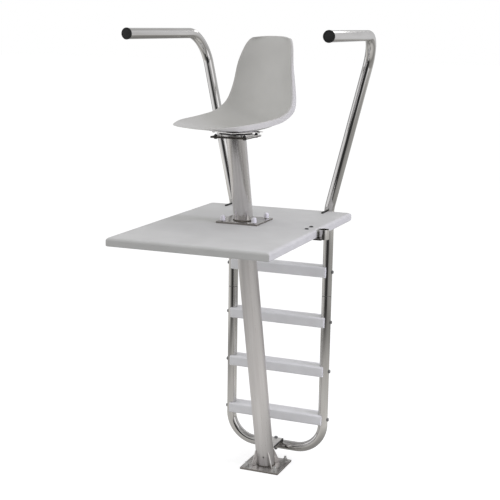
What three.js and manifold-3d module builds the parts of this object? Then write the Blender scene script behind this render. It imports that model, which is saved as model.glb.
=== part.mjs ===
// Swivel lifeguard chair on one leaning post, with a deck, a ladder, bent handrails and a bucket seat.
// Millimetres, +Z up. -Y is the side the guard faces, +X is the guard's left.
// The origin is the centre of the anchor plate's underside, on the ground.
import * as THREE from 'three';
import { mergeVertices } from 'three/addons/utils/BufferGeometryUtils.js';
import Module from 'manifold-3d';

const wasm = await Module();
wasm.setup();

// Gaps and overruns
const weldGap = 0.3;          // left between two pieces that are welded or seated on a curved face
const boltRoom = 0.5;         // radial room round a bolt's shank
const slotRoom = 0.6;         // room each side of a plate that stands in a slot
const cutOverrun = 5;         // how far a cut runs past the face it opens
const mergeTolerance = 0.001; // points nearer than this are one point

// Sides of the polygons that stand for round things
const roundSides = 24;
const hexSides = 6;
const capSides = 20;
const holeSides = 12;         // holes for bolts over 10 mm
const smallHoleSides = 8;     // holes for thinner bolts
const thinBolt = 10;

// Leaning post, one line from the ground to the seat
const postDiameter = 88.9;
const postWall = 3.4;
const postLean = THREE.MathUtils.degToRad(14.67);
const postSides = 28;
const drainHeight = 66;       // drain hole in the front of the post
const drainDiameter = 9;
const drainTurn = THREE.MathUtils.degToRad(12);

// Anchor plate on the ground, its gussets and its anchors
const anchorPlateSide = 203.2;
const anchorPlateThickness = 9.5;
const anchorSpacing = 152.4;
const anchorDiameter = 12.7;
const anchorHeight = 25;      // top of the stud over the plate
const anchorNutAcross = 19;
const anchorNutHeight = 11;
const anchorWasherDiameter = 28;
const anchorWasherThickness = 2.5;
const gussetThickness = 6.4;
const gussetReach = 77;       // foot of the gusset, from the post's axis
const gussetHeight = 84;
const gussetNose = 50;        // reach of the gusset's flat top
const gussetToe = 5;          // upright face at the gusset's foot

// Deck with the post's two flanges
const deckTop = 1311.4;
const deckThickness = 38.1;
const deckWidth = 739.4;
const deckFront = 972;        // ahead of the origin
const deckBack = 120;         // behind the origin
const deckCornerRadius = 4;
const deckEdgeRound = 14;     // top edges
const deckFootRound = 1.5;    // bottom edges
const deckCornerSteps = 3;
const deckEdgeSteps = 4;
const flangeSide = 200;
const lowerFlangeThickness = 9.5;
const upperFlangeThickness = 7.9;
const flangeBoltSpacing = 152.4;
const flangeBoltDiameter = 12.7;
const acornAcross = 21;       // tall domed nuts on top of the deck
const acornHexHeight = 12;
const acornHeight = 27;
const acornNeckDiameter = 17;
const underNutAcross = 19;
const underNutHeight = 11;

// Ladder and handrails
const railDiameter = 48.3;
const railWall = 2.8;
const railSides = 16;
const railBoreSides = 12;
const wideBendSteps = 7;      // bends at the ladder's foot
const kinkSteps = 3;
const topBendSteps = 8;
const ladderBehind = 139.6;   // plane of the ladder, behind the origin
const stileSpacing = 501.6;
const ladderFootHeight = 71;  // centreline of the bottom run
const ladderBendRadius = 140;
const spliceHeight = 885;
const spliceWall = 2.6;
const spliceLength = 150;
const spliceGap = 0.5;
const kinkHeight = 1322;      // where a handrail leans out
const kinkBendRadius = 120;
const handrailTop = 2144.3;
const handrailSpread = 191;   // how far a handrail leans out by its top
const handrailRake = 30.8;    // how far it leans back by its top
const handrailReach = 760;    // length of the forward run
const handrailFlare = 21;     // how far the forward run spreads by its tip
const handrailBendRadius = 150;
const capDiameter = 51.6;
const capThickness = 5;
const capDome = 2;
const capPlugLength = 22;
const capPlugWall = 3;

// Treads
const treadCount = 4;
const treadPitch = 255;
const lowestTreadTop = 266;
const treadDepth = 88.9;
const treadThickness = 50.8;
const treadEdgeRound = 8;
const treadEdgeSteps = 3;
const treadSetback = 6.5;     // tread's middle behind the ladder's plane
const treadBoltDiameter = 9.5;
const treadBoltAcross = 16;
const treadBoltHead = 6;
const treadBoltGrip = 34;     // length that enters the tread

// Brackets between handrails and deck
const bracketThickness = 6.35;
const bracketFront = 30;      // front end of the bracket, behind the origin
const bracketProud = 6;       // how far its web stands over the deck
const bracketFootWidth = 60;
const bracketBoltDiameter = 9.5;
const bracketBoltAcross = 16;
const bracketBoltHead = 6;
const bracketBoltGrip = 24;
const bracketBoltOffset = 17; // from the web

// Plate that ties the ladder's foot to the post
const footPlateWidth = 76;
const footPlateThickness = 6.35;
const footPlateTail = 6;      // past the ladder tube's centreline
const footBoltDiameter = 9.5;
const footBoltAcross = 16;
const footBoltHead = 7;
const footNutHeight = 8;

// Pole sleeve at the deck's side
const sleeveBehind = -372;    // ahead of the origin, so negative
const sleevePlateWidth = 80;
const sleevePlateInset = 70;  // how far its plate runs in under the deck
const sleeveBoltSpacing = 60;
const sleeveBoltInset = 45;
const sleeveBoltDiameter = 9.5;
const sleeveBoltAcross = 17;
const sleeveBoltHead = 5;

// Seat swivel
const headPlateUnderside = 1704;
const headPlateThickness = 5;
const swivelSide = 171.5;
const swivelPlateThickness = 3;
const swivelBoltSpacing = 136;
const swivelBoltDiameter = 7.9;
const swivelBoltAcross = 13;
const swivelBoltHead = 5;
const raceDiameter = 156;
const raceHeight = 7;
const upperRaceHeight = 2.5;
const bearingDiameter = 142;
const bearingBore = 116;
const bearingHeight = 6;
const bearingGap = 0.3;
const spindleDiameter = 26;
const spindleLip = 3;         // spread rim under the lower plate
const spindleLipHeight = 2.4;
const spindleGap = 0.5;
const upperPlateSide = 170;
const seatBoltSpacing = 140;
const seatBoltDiameter = 7.9;
const seatBoltAcross = 13;
const seatBoltHead = 5;
const seatBoltGrip = 4;

// Bucket seat, measured from the swivel's axis, turned away from straight ahead as it was left
const seatYaw = THREE.MathUtils.degToRad(-30);
const seatReach = 248;        // front edge ahead of the swivel's axis
const seatWidth = 464;
const seatHeight = 399;       // from the pan's low point to the top of the back
const seatBackReach = 203;    // top of the back behind the swivel's axis
const seatWall = 3.5;
const seatPlinthHeight = 6;   // from the swivel to the pan's low point, inside
const seatPlinthFoot = 168;   // diameter of the moulded plinth under the pan
const seatPlinthTop = 262;
const seatPlinthRise = 16;
const seatLipRound = 8;
const seatSkirt = 25;
const seatSkirtFlare = 1.5;
const seatColumns = 12;
const seatBowlPower = 2.6;    // how sharply the sides turn up

// Stations from the front edge to the top of the back, as shares of the sizes above: the rim's place,
// half width and height, the middle's place and height, and how much of the skirt is there
const seatStationShares = [
  { rimOut: 0.99, rimWidth: 0.43, rimHeight: 0.052, midOut: 1, midHeight: 0.045, skirt: 0.22 },
  { rimOut: 0.92, rimWidth: 0.65, rimHeight: 0.062, midOut: 0.92, midHeight: 0.031, skirt: 0.34 },
  { rimOut: 0.6, rimWidth: 0.9, rimHeight: 0.09, midOut: 0.6, midHeight: 0.005, skirt: 0.85 },
  { rimOut: 0.2, rimWidth: 0.97, rimHeight: 0.12, midOut: 0.19, midHeight: 0, skirt: 1 },
  { rimOut: -0.25, rimWidth: 1, rimHeight: 0.168, midOut: -0.3, midHeight: 0, skirt: 1 },
  { rimOut: -0.52, rimWidth: 1, rimHeight: 0.248, midOut: -0.66, midHeight: 0.05, skirt: 1 },
  { rimOut: -0.62, rimWidth: 0.945, rimHeight: 0.343, midOut: -0.835, midHeight: 0.178, skirt: 0.95 },
  { rimOut: -0.68, rimWidth: 0.875, rimHeight: 0.495, midOut: -0.885, midHeight: 0.396, skirt: 0.76 },
  { rimOut: -0.725, rimWidth: 0.795, rimHeight: 0.71, midOut: -0.93, midHeight: 0.684, skirt: 0.58 },
  { rimOut: -0.82, rimWidth: 0.69, rimHeight: 0.887, midOut: -0.97, midHeight: 0.89, skirt: 0.55 },
  { rimOut: -0.895, rimWidth: 0.575, rimHeight: 0.975, midOut: -0.995, midHeight: 0.985, skirt: 0.6 },
  { rimOut: -0.91, rimWidth: 0.46, rimHeight: 0.987, midOut: -1, midHeight: 1, skirt: 0.5 },
];
const seatRowsPerStation = 2;
const panHeightShare = 0.1;   // how far up the bowl counts as its pan

// Places worked out from the sizes above
const anchorPlateTop = anchorPlateThickness;
const deckBottom = deckTop - deckThickness;
const lowerFlangeBottom = deckBottom - lowerFlangeThickness;
const upperFlangeTop = deckTop + upperFlangeThickness;
const headPlateTop = headPlateUnderside + headPlateThickness;
const lowerRaceTop = headPlateTop + swivelPlateThickness + raceHeight;
const upperRaceBottom = lowerRaceTop + bearingHeight + 2 * bearingGap;
const upperPlateBottom = upperRaceBottom + upperRaceHeight;
const upperPlateTop = upperPlateBottom + swivelPlateThickness;
const seatPanLevel = upperPlateTop + seatPlinthHeight;
const seatAxisY = postAxisY(headPlateTop);
const railRadius = railDiameter / 2;
const stileX = stileSpacing / 2;
const sleeveX = deckWidth / 2 + railRadius + weldGap;
const sides = [{ side: 'left', sign: 1 }, { side: 'right', sign: -1 }];

const finishes = {
  polishedSteel: new THREE.MeshStandardMaterial({ color: 0xc9c8c2, roughness: 0.18, metalness: 1 }),
  brushedSteel: new THREE.MeshStandardMaterial({ color: 0xbdbbb4, roughness: 0.38, metalness: 1 }),
  zincSteel: new THREE.MeshStandardMaterial({ color: 0x9b9b9a, roughness: 0.45, metalness: 1 }),
  bearingSteel: new THREE.MeshStandardMaterial({ color: 0x333333, roughness: 0.4, metalness: 1 }),
  greyPlastic: new THREE.MeshStandardMaterial({ color: 0xbcbcba, roughness: 0.55, metalness: 0 }),
  seatPlastic: new THREE.MeshStandardMaterial({ color: 0xb2b2ae, roughness: 0.4, metalness: 0 }),
  blackRubber: new THREE.MeshStandardMaterial({ color: 0x191919, roughness: 0.6, metalness: 0 }),
};

const chair = new THREE.Group();
const seatGroup = new THREE.Group();
seatGroup.position.y = seatAxisY;
seatGroup.rotation.z = seatYaw;
chair.add(seatGroup);

function addPiece(name, geometry, finish, parent = chair) {
  const mesh = new THREE.Mesh(geometry, finish);
  mesh.name = name;
  parent.add(mesh);
  return mesh;
}

// The post's centre line at a height
function postAxisY(height) {
  return -Math.tan(postLean) * height;
}

// A closed mesh as a solid for cutting and joining
function solidOf(geometry) {
  const bare = geometry.index ? geometry.toNonIndexed() : geometry.clone();
  bare.deleteAttribute('normal');
  bare.deleteAttribute('uv');
  const merged = mergeVertices(bare, mergeTolerance);
  const corners = merged.index.array;
  const kept = [];
  for (let i = 0; i < corners.length; i += 3) {
    const [a, b, c] = [corners[i], corners[i + 1], corners[i + 2]];
    if (a !== b && b !== c && c !== a) kept.push(a, b, c);
  }
  return new wasm.Manifold(new wasm.Mesh({
    numProp: 3,
    vertProperties: new Float32Array(merged.attributes.position.array),
    triVerts: new Uint32Array(kept),
  }));
}

function geometryOf(solid) {
  const mesh = solid.getMesh();
  const geometry = new THREE.BufferGeometry();
  geometry.setAttribute('position', new THREE.BufferAttribute(new Float32Array(mesh.vertProperties), 3));
  geometry.setIndex(new THREE.BufferAttribute(new Uint32Array(mesh.triVerts), 1));
  return geometry;
}

// One geometry less others
function cut(geometry, tools) {
  let solid = solidOf(geometry);
  for (const tool of tools) solid = solid.subtract(solidOf(tool));
  return geometryOf(solid);
}

// A polygon's corner radius for a hole that clears a round radius all round
function holeRadius(radius, count) {
  return radius / Math.cos(Math.PI / count);
}

function circlePoints(radiusX, radiusY, count) {
  const points = [];
  for (let i = 0; i < count; i += 1) {
    const angle = (2 * Math.PI * i) / count;
    points.push(new THREE.Vector2(radiusX * Math.cos(angle), radiusY * Math.sin(angle)));
  }
  return points;
}

// An upright round bar between two heights
function rodZ(radius, bottom, top, count = roundSides) {
  const rod = new THREE.CylinderGeometry(radius, radius, top - bottom, count);
  rod.rotateX(Math.PI / 2);
  rod.translate(0, 0, (bottom + top) / 2);
  return rod;
}

// A cutter for an upright bolt hole
function boltHole(diameter, bottom, top, x, y) {
  const count = diameter > thinBolt ? holeSides : smallHoleSides;
  const hole = rodZ(holeRadius(diameter / 2 + boltRoom, count), bottom, top, count);
  return hole.translate(x, y, 0);
}

// A level round bar along X between two places
function rodX(radius, start, end, count = roundSides) {
  const rod = new THREE.CylinderGeometry(radius, radius, Math.abs(end - start), count);
  rod.rotateZ(Math.PI / 2);
  rod.translate((start + end) / 2, 0, 0);
  return rod;
}

// A fastener turned from a profile of radius and height, six-sided like its head
function fastener(profile) {
  const points = profile.map(([radius, height]) => new THREE.Vector2(radius, height));
  const piece = new THREE.LatheGeometry(points, hexSides);
  piece.rotateX(Math.PI / 2);
  return piece;
}

// The corner radius of a hexagon from its width across flats
function hexRadius(across) {
  return across / Math.sqrt(3);
}

function squarePlaces(spacing) {
  const half = spacing / 2;
  return [[-half, -half], [half, -half], [half, half], [-half, half]];
}

// A flat square plate with round holes
function platePiece(size, bottom, spacing, holeDiameter, bore = 0) {
  const { side, thickness } = size;
  const half = side / 2;
  const outline = new THREE.Shape([
    new THREE.Vector2(-half, -half),
    new THREE.Vector2(half, -half),
    new THREE.Vector2(half, half),
    new THREE.Vector2(-half, half),
  ]);
  const radius = holeRadius(holeDiameter / 2 + boltRoom, holeSides);
  for (const [x, y] of squarePlaces(spacing)) {
    const ring = circlePoints(radius, radius, holeSides).map((point) => point.add(new THREE.Vector2(x, y)));
    outline.holes.push(new THREE.Path(ring));
  }
  if (bore > 0) {
    const boreRadius = holeRadius(bore / 2, roundSides);
    outline.holes.push(new THREE.Path(circlePoints(boreRadius, boreRadius, roundSides)));
  }
  const plate = new THREE.ExtrudeGeometry(outline, { depth: thickness, bevelEnabled: false });
  plate.translate(0, 0, bottom);
  return plate;
}

// A round bar along the post's line between two heights, cut level at both ends
function leaningBar(diameter, bottom, top, bore = 0) {
  const stretch = 1 / Math.cos(postLean);
  const radius = diameter / 2;
  const section = new THREE.Shape(circlePoints(radius, radius * stretch, postSides));
  if (bore > 0) section.holes.push(new THREE.Path(circlePoints(bore / 2, (bore / 2) * stretch, postSides)));
  const bar = new THREE.ExtrudeGeometry(section, { depth: top - bottom, bevelEnabled: false });
  bar.translate(0, 0, bottom);
  leanAlong(bar);
  return bar;
}

// Slides each level of an upright body to where the post is at that height
function leanAlong(geometry) {
  geometry.applyMatrix4(new THREE.Matrix4().makeShear(0, 0, 0, 0, 0, -Math.tan(postLean)));
}

function makePosts() {
  const bore = postDiameter - 2 * postWall;
  const lower = leaningBar(postDiameter, anchorPlateTop, lowerFlangeBottom, bore);
  const drain = rodZ(drainDiameter / 2, 0, postDiameter / 2 + cutOverrun, holeSides);
  drain.rotateX(Math.PI / 2);
  drain.rotateZ(drainTurn);
  drain.translate(0, postAxisY(drainHeight), drainHeight);
  addPiece('lower_post', cut(lower, [drain]), finishes.brushedSteel);
  const upper = leaningBar(postDiameter, upperFlangeTop, headPlateUnderside, bore);
  addPiece('upper_post', upper, finishes.polishedSteel);
}

function makeAnchorPlate() {
  const size = { side: anchorPlateSide, thickness: anchorPlateThickness };
  const plate = platePiece(size, 0, anchorSpacing, anchorDiameter);
  addPiece('anchor_plate', plate, finishes.brushedSteel);
  const corners = ['front_right', 'front_left', 'back_left', 'back_right'];
  squarePlaces(anchorSpacing).forEach(([x, y], i) => {
    makeAnchor(`anchor_${corners[i]}`, x, y);
    makeGusset(`gusset_${corners[i]}`, Math.atan2(y, x));
  });
}

function makeAnchor(name, x, y) {
  const stud = anchorDiameter / 2;
  const washerTop = anchorPlateTop + anchorWasherThickness;
  const nutTop = washerTop + anchorNutHeight;
  const anchor = fastener([
    [0, 0],
    [stud, 0],
    [stud, anchorPlateTop],
    [anchorWasherDiameter / 2, anchorPlateTop],
    [anchorWasherDiameter / 2, washerTop],
    [hexRadius(anchorNutAcross), washerTop],
    [hexRadius(anchorNutAcross), nutTop],
    [stud, nutTop],
    [stud, anchorPlateTop + anchorHeight],
    [0, anchorPlateTop + anchorHeight],
  ]);
  anchor.translate(x, y, 0);
  addPiece(name, anchor, finishes.zincSteel);
}

// A plate on edge that runs out from the post towards a corner of the anchor plate and leans with the post
function makeGusset(name, angle) {
  const outline = new THREE.Shape([
    new THREE.Vector2(0, 0),
    new THREE.Vector2(gussetReach, 0),
    new THREE.Vector2(gussetReach, gussetToe),
    new THREE.Vector2(gussetNose, gussetHeight),
    new THREE.Vector2(0, gussetHeight),
  ]);
  const gusset = new THREE.ExtrudeGeometry(outline, { depth: gussetThickness, bevelEnabled: false });
  gusset.translate(0, 0, -gussetThickness / 2);
  gusset.rotateX(Math.PI / 2);
  gusset.rotateZ(angle);
  gusset.translate(0, 0, anchorPlateTop);
  leanAlong(gusset);
  const postSpace = leaningBar(postDiameter + 2 * weldGap, -cutOverrun, gussetHeight * 2);
  addPiece(name, cut(gusset, [postSpace]), finishes.brushedSteel);
}

// The deck's outline at a height: drawn in towards the top edge, with a corner that grows as it does
function deckRing(height, inset) {
  const radius = deckCornerRadius + inset;
  const half = deckWidth / 2 - inset - radius;
  const front = -deckFront + inset + radius;
  const back = deckBack - inset - radius;
  const centres = [[half, back], [-half, back], [-half, front], [half, front]];
  const ring = [];
  centres.forEach(([x, y], quarter) => {
    for (let i = 0; i <= deckCornerSteps; i += 1) {
      const angle = (Math.PI / 2) * (quarter + i / deckCornerSteps);
      ring.push(new THREE.Vector3(x + radius * Math.cos(angle), y + radius * Math.sin(angle), height));
    }
  });
  return ring;
}

// A closed body from level rings that all have the same number of points
function stackedRings(rings) {
  const corners = [];
  const count = rings[0].length;
  const last = rings[rings.length - 1];
  for (let i = 1; i < count - 1; i += 1) {
    corners.push(rings[0][0], rings[0][i + 1], rings[0][i]);
    corners.push(last[0], last[i], last[i + 1]);
  }
  for (let k = 0; k < rings.length - 1; k += 1) {
    for (let i = 0; i < count; i += 1) {
      const next = (i + 1) % count;
      const [low, high] = [rings[k], rings[k + 1]];
      corners.push(low[i], low[next], high[next], low[i], high[next], high[i]);
    }
  }
  return new THREE.BufferGeometry().setFromPoints(corners);
}

function makeDeck() {
  const rings = [deckRing(deckBottom, deckFootRound), deckRing(deckBottom + deckFootRound, 0)];
  for (let i = 0; i <= deckEdgeSteps; i += 1) {
    const angle = (Math.PI / 2) * (i / deckEdgeSteps);
    const inset = deckEdgeRound * (1 - Math.cos(angle));
    rings.push(deckRing(deckTop - deckEdgeRound * (1 - Math.sin(angle)), inset));
  }
  const board = stackedRings(rings);
  addPiece('deck', cut(board, [...deckBoltHoles(), ...deckRailNotches()]), finishes.greyPlastic);
}

function deckBoltHoles() {
  const holes = [];
  const flangeY = postAxisY(deckBottom);
  const [bottom, top] = [deckBottom - cutOverrun, deckTop + cutOverrun];
  for (const [x, y] of squarePlaces(flangeBoltSpacing)) {
    holes.push(boltHole(flangeBoltDiameter, bottom, top, x, flangeY + y));
  }
  for (const y of sleeveBoltPlaces()) {
    holes.push(boltHole(sleeveBoltDiameter, bottom, top, deckWidth / 2 - sleeveBoltInset, y));
  }
  const blindTop = deckBottom + bracketBoltGrip + boltRoom;
  for (const { sign } of sides) {
    holes.push(boltHole(bracketBoltDiameter, bottom, blindTop, bracketBoltX(sign), bracketBoltY()));
  }
  return holes;
}

// Where each handrail passes the deck's back edge and its bracket's web stands in a slot
function deckRailNotches() {
  const tools = [];
  for (const { sign } of sides) {
    const radius = holeRadius(railRadius + 2 * slotRoom, roundSides);
    const notch = rodZ(radius, deckBottom - cutOverrun, deckTop + cutOverrun);
    tools.push(notch.translate(sign * stileX, ladderBehind, 0));
    const slotFront = bracketFront - slotRoom;
    const slotBack = deckBack + cutOverrun;
    const slot = new THREE.BoxGeometry(
      bracketThickness + 2 * slotRoom,
      slotBack - slotFront,
      deckThickness + 2 * cutOverrun,
    );
    tools.push(slot.translate(sign * stileX, (slotFront + slotBack) / 2, deckTop - deckThickness / 2));
  }
  return tools;
}

function makeFlanges() {
  const lowerSize = { side: flangeSide, thickness: lowerFlangeThickness };
  const upperSize = { side: flangeSide, thickness: upperFlangeThickness };
  const lower = platePiece(lowerSize, lowerFlangeBottom, flangeBoltSpacing, flangeBoltDiameter);
  const upper = platePiece(upperSize, deckTop, flangeBoltSpacing, flangeBoltDiameter);
  const flangeY = postAxisY(deckBottom);
  lower.translate(0, flangeY, 0);
  upper.translate(0, flangeY, 0);
  addPiece('lower_deck_flange', lower, finishes.brushedSteel);
  addPiece('upper_deck_flange', upper, finishes.polishedSteel);
  squarePlaces(flangeBoltSpacing).forEach(([x, y], i) => {
    makeDeckBolt(`deck_bolt_${i + 1}`, x, flangeY + y);
  });
}

// A through stud with a tall domed nut over the deck and a plain nut under it
function makeDeckBolt(name, x, y) {
  const shank = flangeBoltDiameter / 2;
  const nutBottom = lowerFlangeBottom - underNutHeight;
  const bolt = fastener([
    [0, nutBottom],
    [hexRadius(underNutAcross), nutBottom],
    [hexRadius(underNutAcross), lowerFlangeBottom],
    [shank, lowerFlangeBottom],
    [shank, upperFlangeTop],
    [hexRadius(acornAcross), upperFlangeTop],
    [hexRadius(acornAcross), upperFlangeTop + acornHexHeight],
    [acornNeckDiameter / 2, upperFlangeTop + acornHexHeight],
    [acornNeckDiameter / 2, upperFlangeTop + (acornHexHeight + acornHeight) / 2],
    [acornNeckDiameter / 4, upperFlangeTop + acornHeight],
    [0, upperFlangeTop + acornHeight],
  ]);
  bolt.translate(x, y, 0);
  addPiece(name, bolt, finishes.polishedSteel);
}

// Stations along a run of straights joined by bends: where each ring of the tube lies and which way it faces
class BentRun extends THREE.Curve {
  constructor(corners, bendRadii, bendSteps) {
    super();
    this.places = [corners[0]];
    this.headings = [corners[1].clone().sub(corners[0]).normalize()];
    for (let i = 1; i < corners.length - 1; i += 1) {
      this.addBend(corners[i - 1], corners[i], corners[i + 1], bendRadii[i - 1], bendSteps[i - 1]);
    }
    const last = corners[corners.length - 1];
    this.headings.push(last.clone().sub(corners[corners.length - 2]).normalize());
    this.places.push(last);
  }

  addBend(before, corner, after, radius, steps) {
    const into = corner.clone().sub(before).normalize();
    const out = after.clone().sub(corner).normalize();
    const turn = into.angleTo(out);
    const start = corner.clone().addScaledVector(into, -radius * Math.tan(turn / 2));
    const axis = into.clone().cross(out).normalize();
    const inward = axis.clone().cross(into);
    const centre = start.clone().addScaledVector(inward, radius);
    for (let i = 0; i <= steps; i += 1) {
      const swept = (turn * i) / steps;
      const arm = inward.clone().multiplyScalar(-radius).applyAxisAngle(axis, swept);
      this.places.push(centre.clone().add(arm));
      this.headings.push(into.clone().applyAxisAngle(axis, swept));
    }
  }

  get stepCount() {
    return this.places.length - 1;
  }

  getPoint(t) {
    return this.places[Math.round(t * this.stepCount)].clone();
  }

  getPointAt(t) {
    return this.getPoint(t);
  }

  getTangentAt(t) {
    return this.headings[Math.round(t * this.stepCount)].clone();
  }
}

// A tube of the handrail's section along a run
function railTube(run) {
  const bore = holeRadius(railRadius - railWall, railBoreSides);
  const section = new THREE.Shape(circlePoints(railRadius, railRadius, railSides));
  section.holes.push(new THREE.Path(circlePoints(bore, bore, railBoreSides)));
  return new THREE.ExtrudeGeometry(section, {
    steps: run.stepCount,
    extrudePath: run,
    bevelEnabled: false,
  });
}

function treadLevel(index) {
  return lowestTreadTop + index * treadPitch - treadThickness / 2;
}

// Bolt holes through the stiles at each tread that lies between two heights
function stileHoles(low, high, signs) {
  const holes = [];
  for (let i = 0; i < treadCount; i += 1) {
    const level = treadLevel(i);
    if (level < low || level > high) continue;
    for (const sign of signs) {
      const reach = railRadius + cutOverrun;
      const radius = holeRadius(treadBoltDiameter / 2 + boltRoom, smallHoleSides);
      const hole = rodX(radius, -reach, reach, smallHoleSides);
      holes.push(hole.translate(sign * stileX, ladderBehind, level));
    }
  }
  return holes;
}

function makeLadderTube() {
  const top = spliceHeight - spliceGap / 2;
  const corners = [
    new THREE.Vector3(-stileX, ladderBehind, top),
    new THREE.Vector3(-stileX, ladderBehind, ladderFootHeight),
    new THREE.Vector3(stileX, ladderBehind, ladderFootHeight),
    new THREE.Vector3(stileX, ladderBehind, top),
  ];
  const bendRadii = [ladderBendRadius, ladderBendRadius];
  const tube = railTube(new BentRun(corners, bendRadii, [wideBendSteps, wideBendSteps]));
  const footHole = boltHole(footBoltDiameter, 0, 2 * ladderFootHeight, 0, ladderBehind);
  const holes = stileHoles(0, spliceHeight, [-1, 1]);
  addPiece('ladder_tube', cut(tube, [...holes, footHole]), finishes.polishedSteel);
}

function makeHandrail(side, sign) {
  const bottom = spliceHeight + spliceGap / 2;
  const topX = sign * (stileX + handrailSpread);
  const topY = ladderBehind + handrailRake;
  const tipX = sign * (stileX + handrailSpread + handrailFlare);
  const corners = [
    new THREE.Vector3(sign * stileX, ladderBehind, bottom),
    new THREE.Vector3(sign * stileX, ladderBehind, kinkHeight),
    new THREE.Vector3(topX, topY, handrailTop),
    new THREE.Vector3(tipX, topY - handrailReach, handrailTop),
  ];
  const bendRadii = [kinkBendRadius, handrailBendRadius];
  const tube = railTube(new BentRun(corners, bendRadii, [kinkSteps, topBendSteps]));
  const holes = stileHoles(spliceHeight, deckBottom, [sign]);
  addPiece(`handrail_${side}`, cut(tube, holes), finishes.polishedSteel);
  makeEndCap(side, corners[2], corners[3]);
  makeSplice(side, sign);
}

// A domed rubber cap whose hollow plug sits in the handrail's end
function makeEndCap(side, from, tip) {
  const plugRadius = railRadius - railWall - weldGap;
  const cap = new THREE.LatheGeometry([
    new THREE.Vector2(0, weldGap),
    new THREE.Vector2(plugRadius - capPlugWall, weldGap),
    new THREE.Vector2(plugRadius - capPlugWall, -capPlugLength),
    new THREE.Vector2(plugRadius, -capPlugLength),
    new THREE.Vector2(plugRadius, weldGap),
    new THREE.Vector2(capDiameter / 2, weldGap),
    new THREE.Vector2(capDiameter / 2, capThickness - capDome),
    new THREE.Vector2(capDiameter / 4, capThickness),
    new THREE.Vector2(0, capThickness),
  ], capSides);
  const heading = tip.clone().sub(from).normalize();
  cap.applyQuaternion(new THREE.Quaternion().setFromUnitVectors(new THREE.Vector3(0, 1, 0), heading));
  cap.translate(tip.x, tip.y, tip.z);
  addPiece(`end_cap_${side}`, geometryOf(solidOf(cap)), finishes.blackRubber);
}

// A sleeve inside the joint of ladder tube and handrail
function makeSplice(side, sign) {
  const flat = railRadius - railWall - weldGap;
  const radius = holeRadius(flat, railBoreSides);
  const bore = holeRadius(flat - spliceWall, railBoreSides);
  const section = new THREE.Shape(circlePoints(radius, radius, railBoreSides));
  section.holes.push(new THREE.Path(circlePoints(bore, bore, railBoreSides)));
  const sleeve = new THREE.ExtrudeGeometry(section, { depth: spliceLength, bevelEnabled: false });
  sleeve.translate(sign * stileX, ladderBehind, spliceHeight - spliceLength / 2);
  const reach = spliceLength / 2 + treadBoltDiameter;
  const holes = stileHoles(spliceHeight - reach, spliceHeight + reach, [sign]);
  addPiece(`splice_sleeve_${side}`, cut(sleeve, holes), finishes.zincSteel);
}

// A moulded tread whose ends are hollowed to fit round the stiles
function makeTread(index) {
  const level = treadLevel(index);
  const halfDepth = treadDepth / 2 - treadEdgeRound;
  const halfThickness = treadThickness / 2 - treadEdgeRound;
  const outline = new THREE.Shape();
  outline.absarc(halfDepth, halfThickness, treadEdgeRound, 0, Math.PI / 2);
  outline.absarc(-halfDepth, halfThickness, treadEdgeRound, Math.PI / 2, Math.PI);
  outline.absarc(-halfDepth, -halfThickness, treadEdgeRound, Math.PI, 1.5 * Math.PI);
  outline.absarc(halfDepth, -halfThickness, treadEdgeRound, 1.5 * Math.PI, 2 * Math.PI);
  const tread = new THREE.ExtrudeGeometry(outline, {
    depth: 2 * stileX,
    bevelEnabled: false,
    curveSegments: treadEdgeSteps,
  });
  tread.translate(0, 0, -stileX);
  tread.rotateX(Math.PI / 2);
  tread.rotateZ(Math.PI / 2);
  tread.translate(0, ladderBehind + treadSetback, level);
  const tools = [];
  for (const { sign } of sides) {
    const notchRadius = holeRadius(railRadius + weldGap, roundSides);
    const notch = rodZ(notchRadius, level - treadThickness, level + treadThickness);
    tools.push(notch.translate(sign * stileX, ladderBehind, 0));
    const inner = stileX - railRadius - treadBoltGrip - 2 * boltRoom;
    const radius = holeRadius(treadBoltDiameter / 2 + boltRoom, smallHoleSides);
    const hole = rodX(radius, sign * inner, sign * stileX, smallHoleSides);
    tools.push(hole.translate(0, ladderBehind, level));
  }
  addPiece(`tread_${index + 1}`, cut(tread, tools), finishes.greyPlastic);
  for (const { side, sign } of sides) makeTreadBolt(`tread_bolt_${index + 1}_${side}`, sign, level);
}

// A bolt from outside the stile, through the tube and into the tread's end
function makeTreadBolt(name, sign, level) {
  const shank = treadBoltDiameter / 2;
  const head = railRadius + weldGap;
  const bolt = fastener([
    [0, -railRadius - treadBoltGrip],
    [shank, -railRadius - treadBoltGrip],
    [shank, head],
    [hexRadius(treadBoltAcross), head],
    [hexRadius(treadBoltAcross), head + treadBoltHead],
    [0, head + treadBoltHead],
  ]);
  bolt.rotateY((sign * Math.PI) / 2);
  bolt.translate(sign * stileX, ladderBehind, level);
  addPiece(name, bolt, finishes.zincSteel);
}

function bracketBoltX(sign) {
  return sign * (stileX - bracketThickness / 2 - bracketBoltOffset);
}

function bracketBoltY() {
  return (bracketFront + ladderBehind - railRadius) / 2;
}

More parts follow.
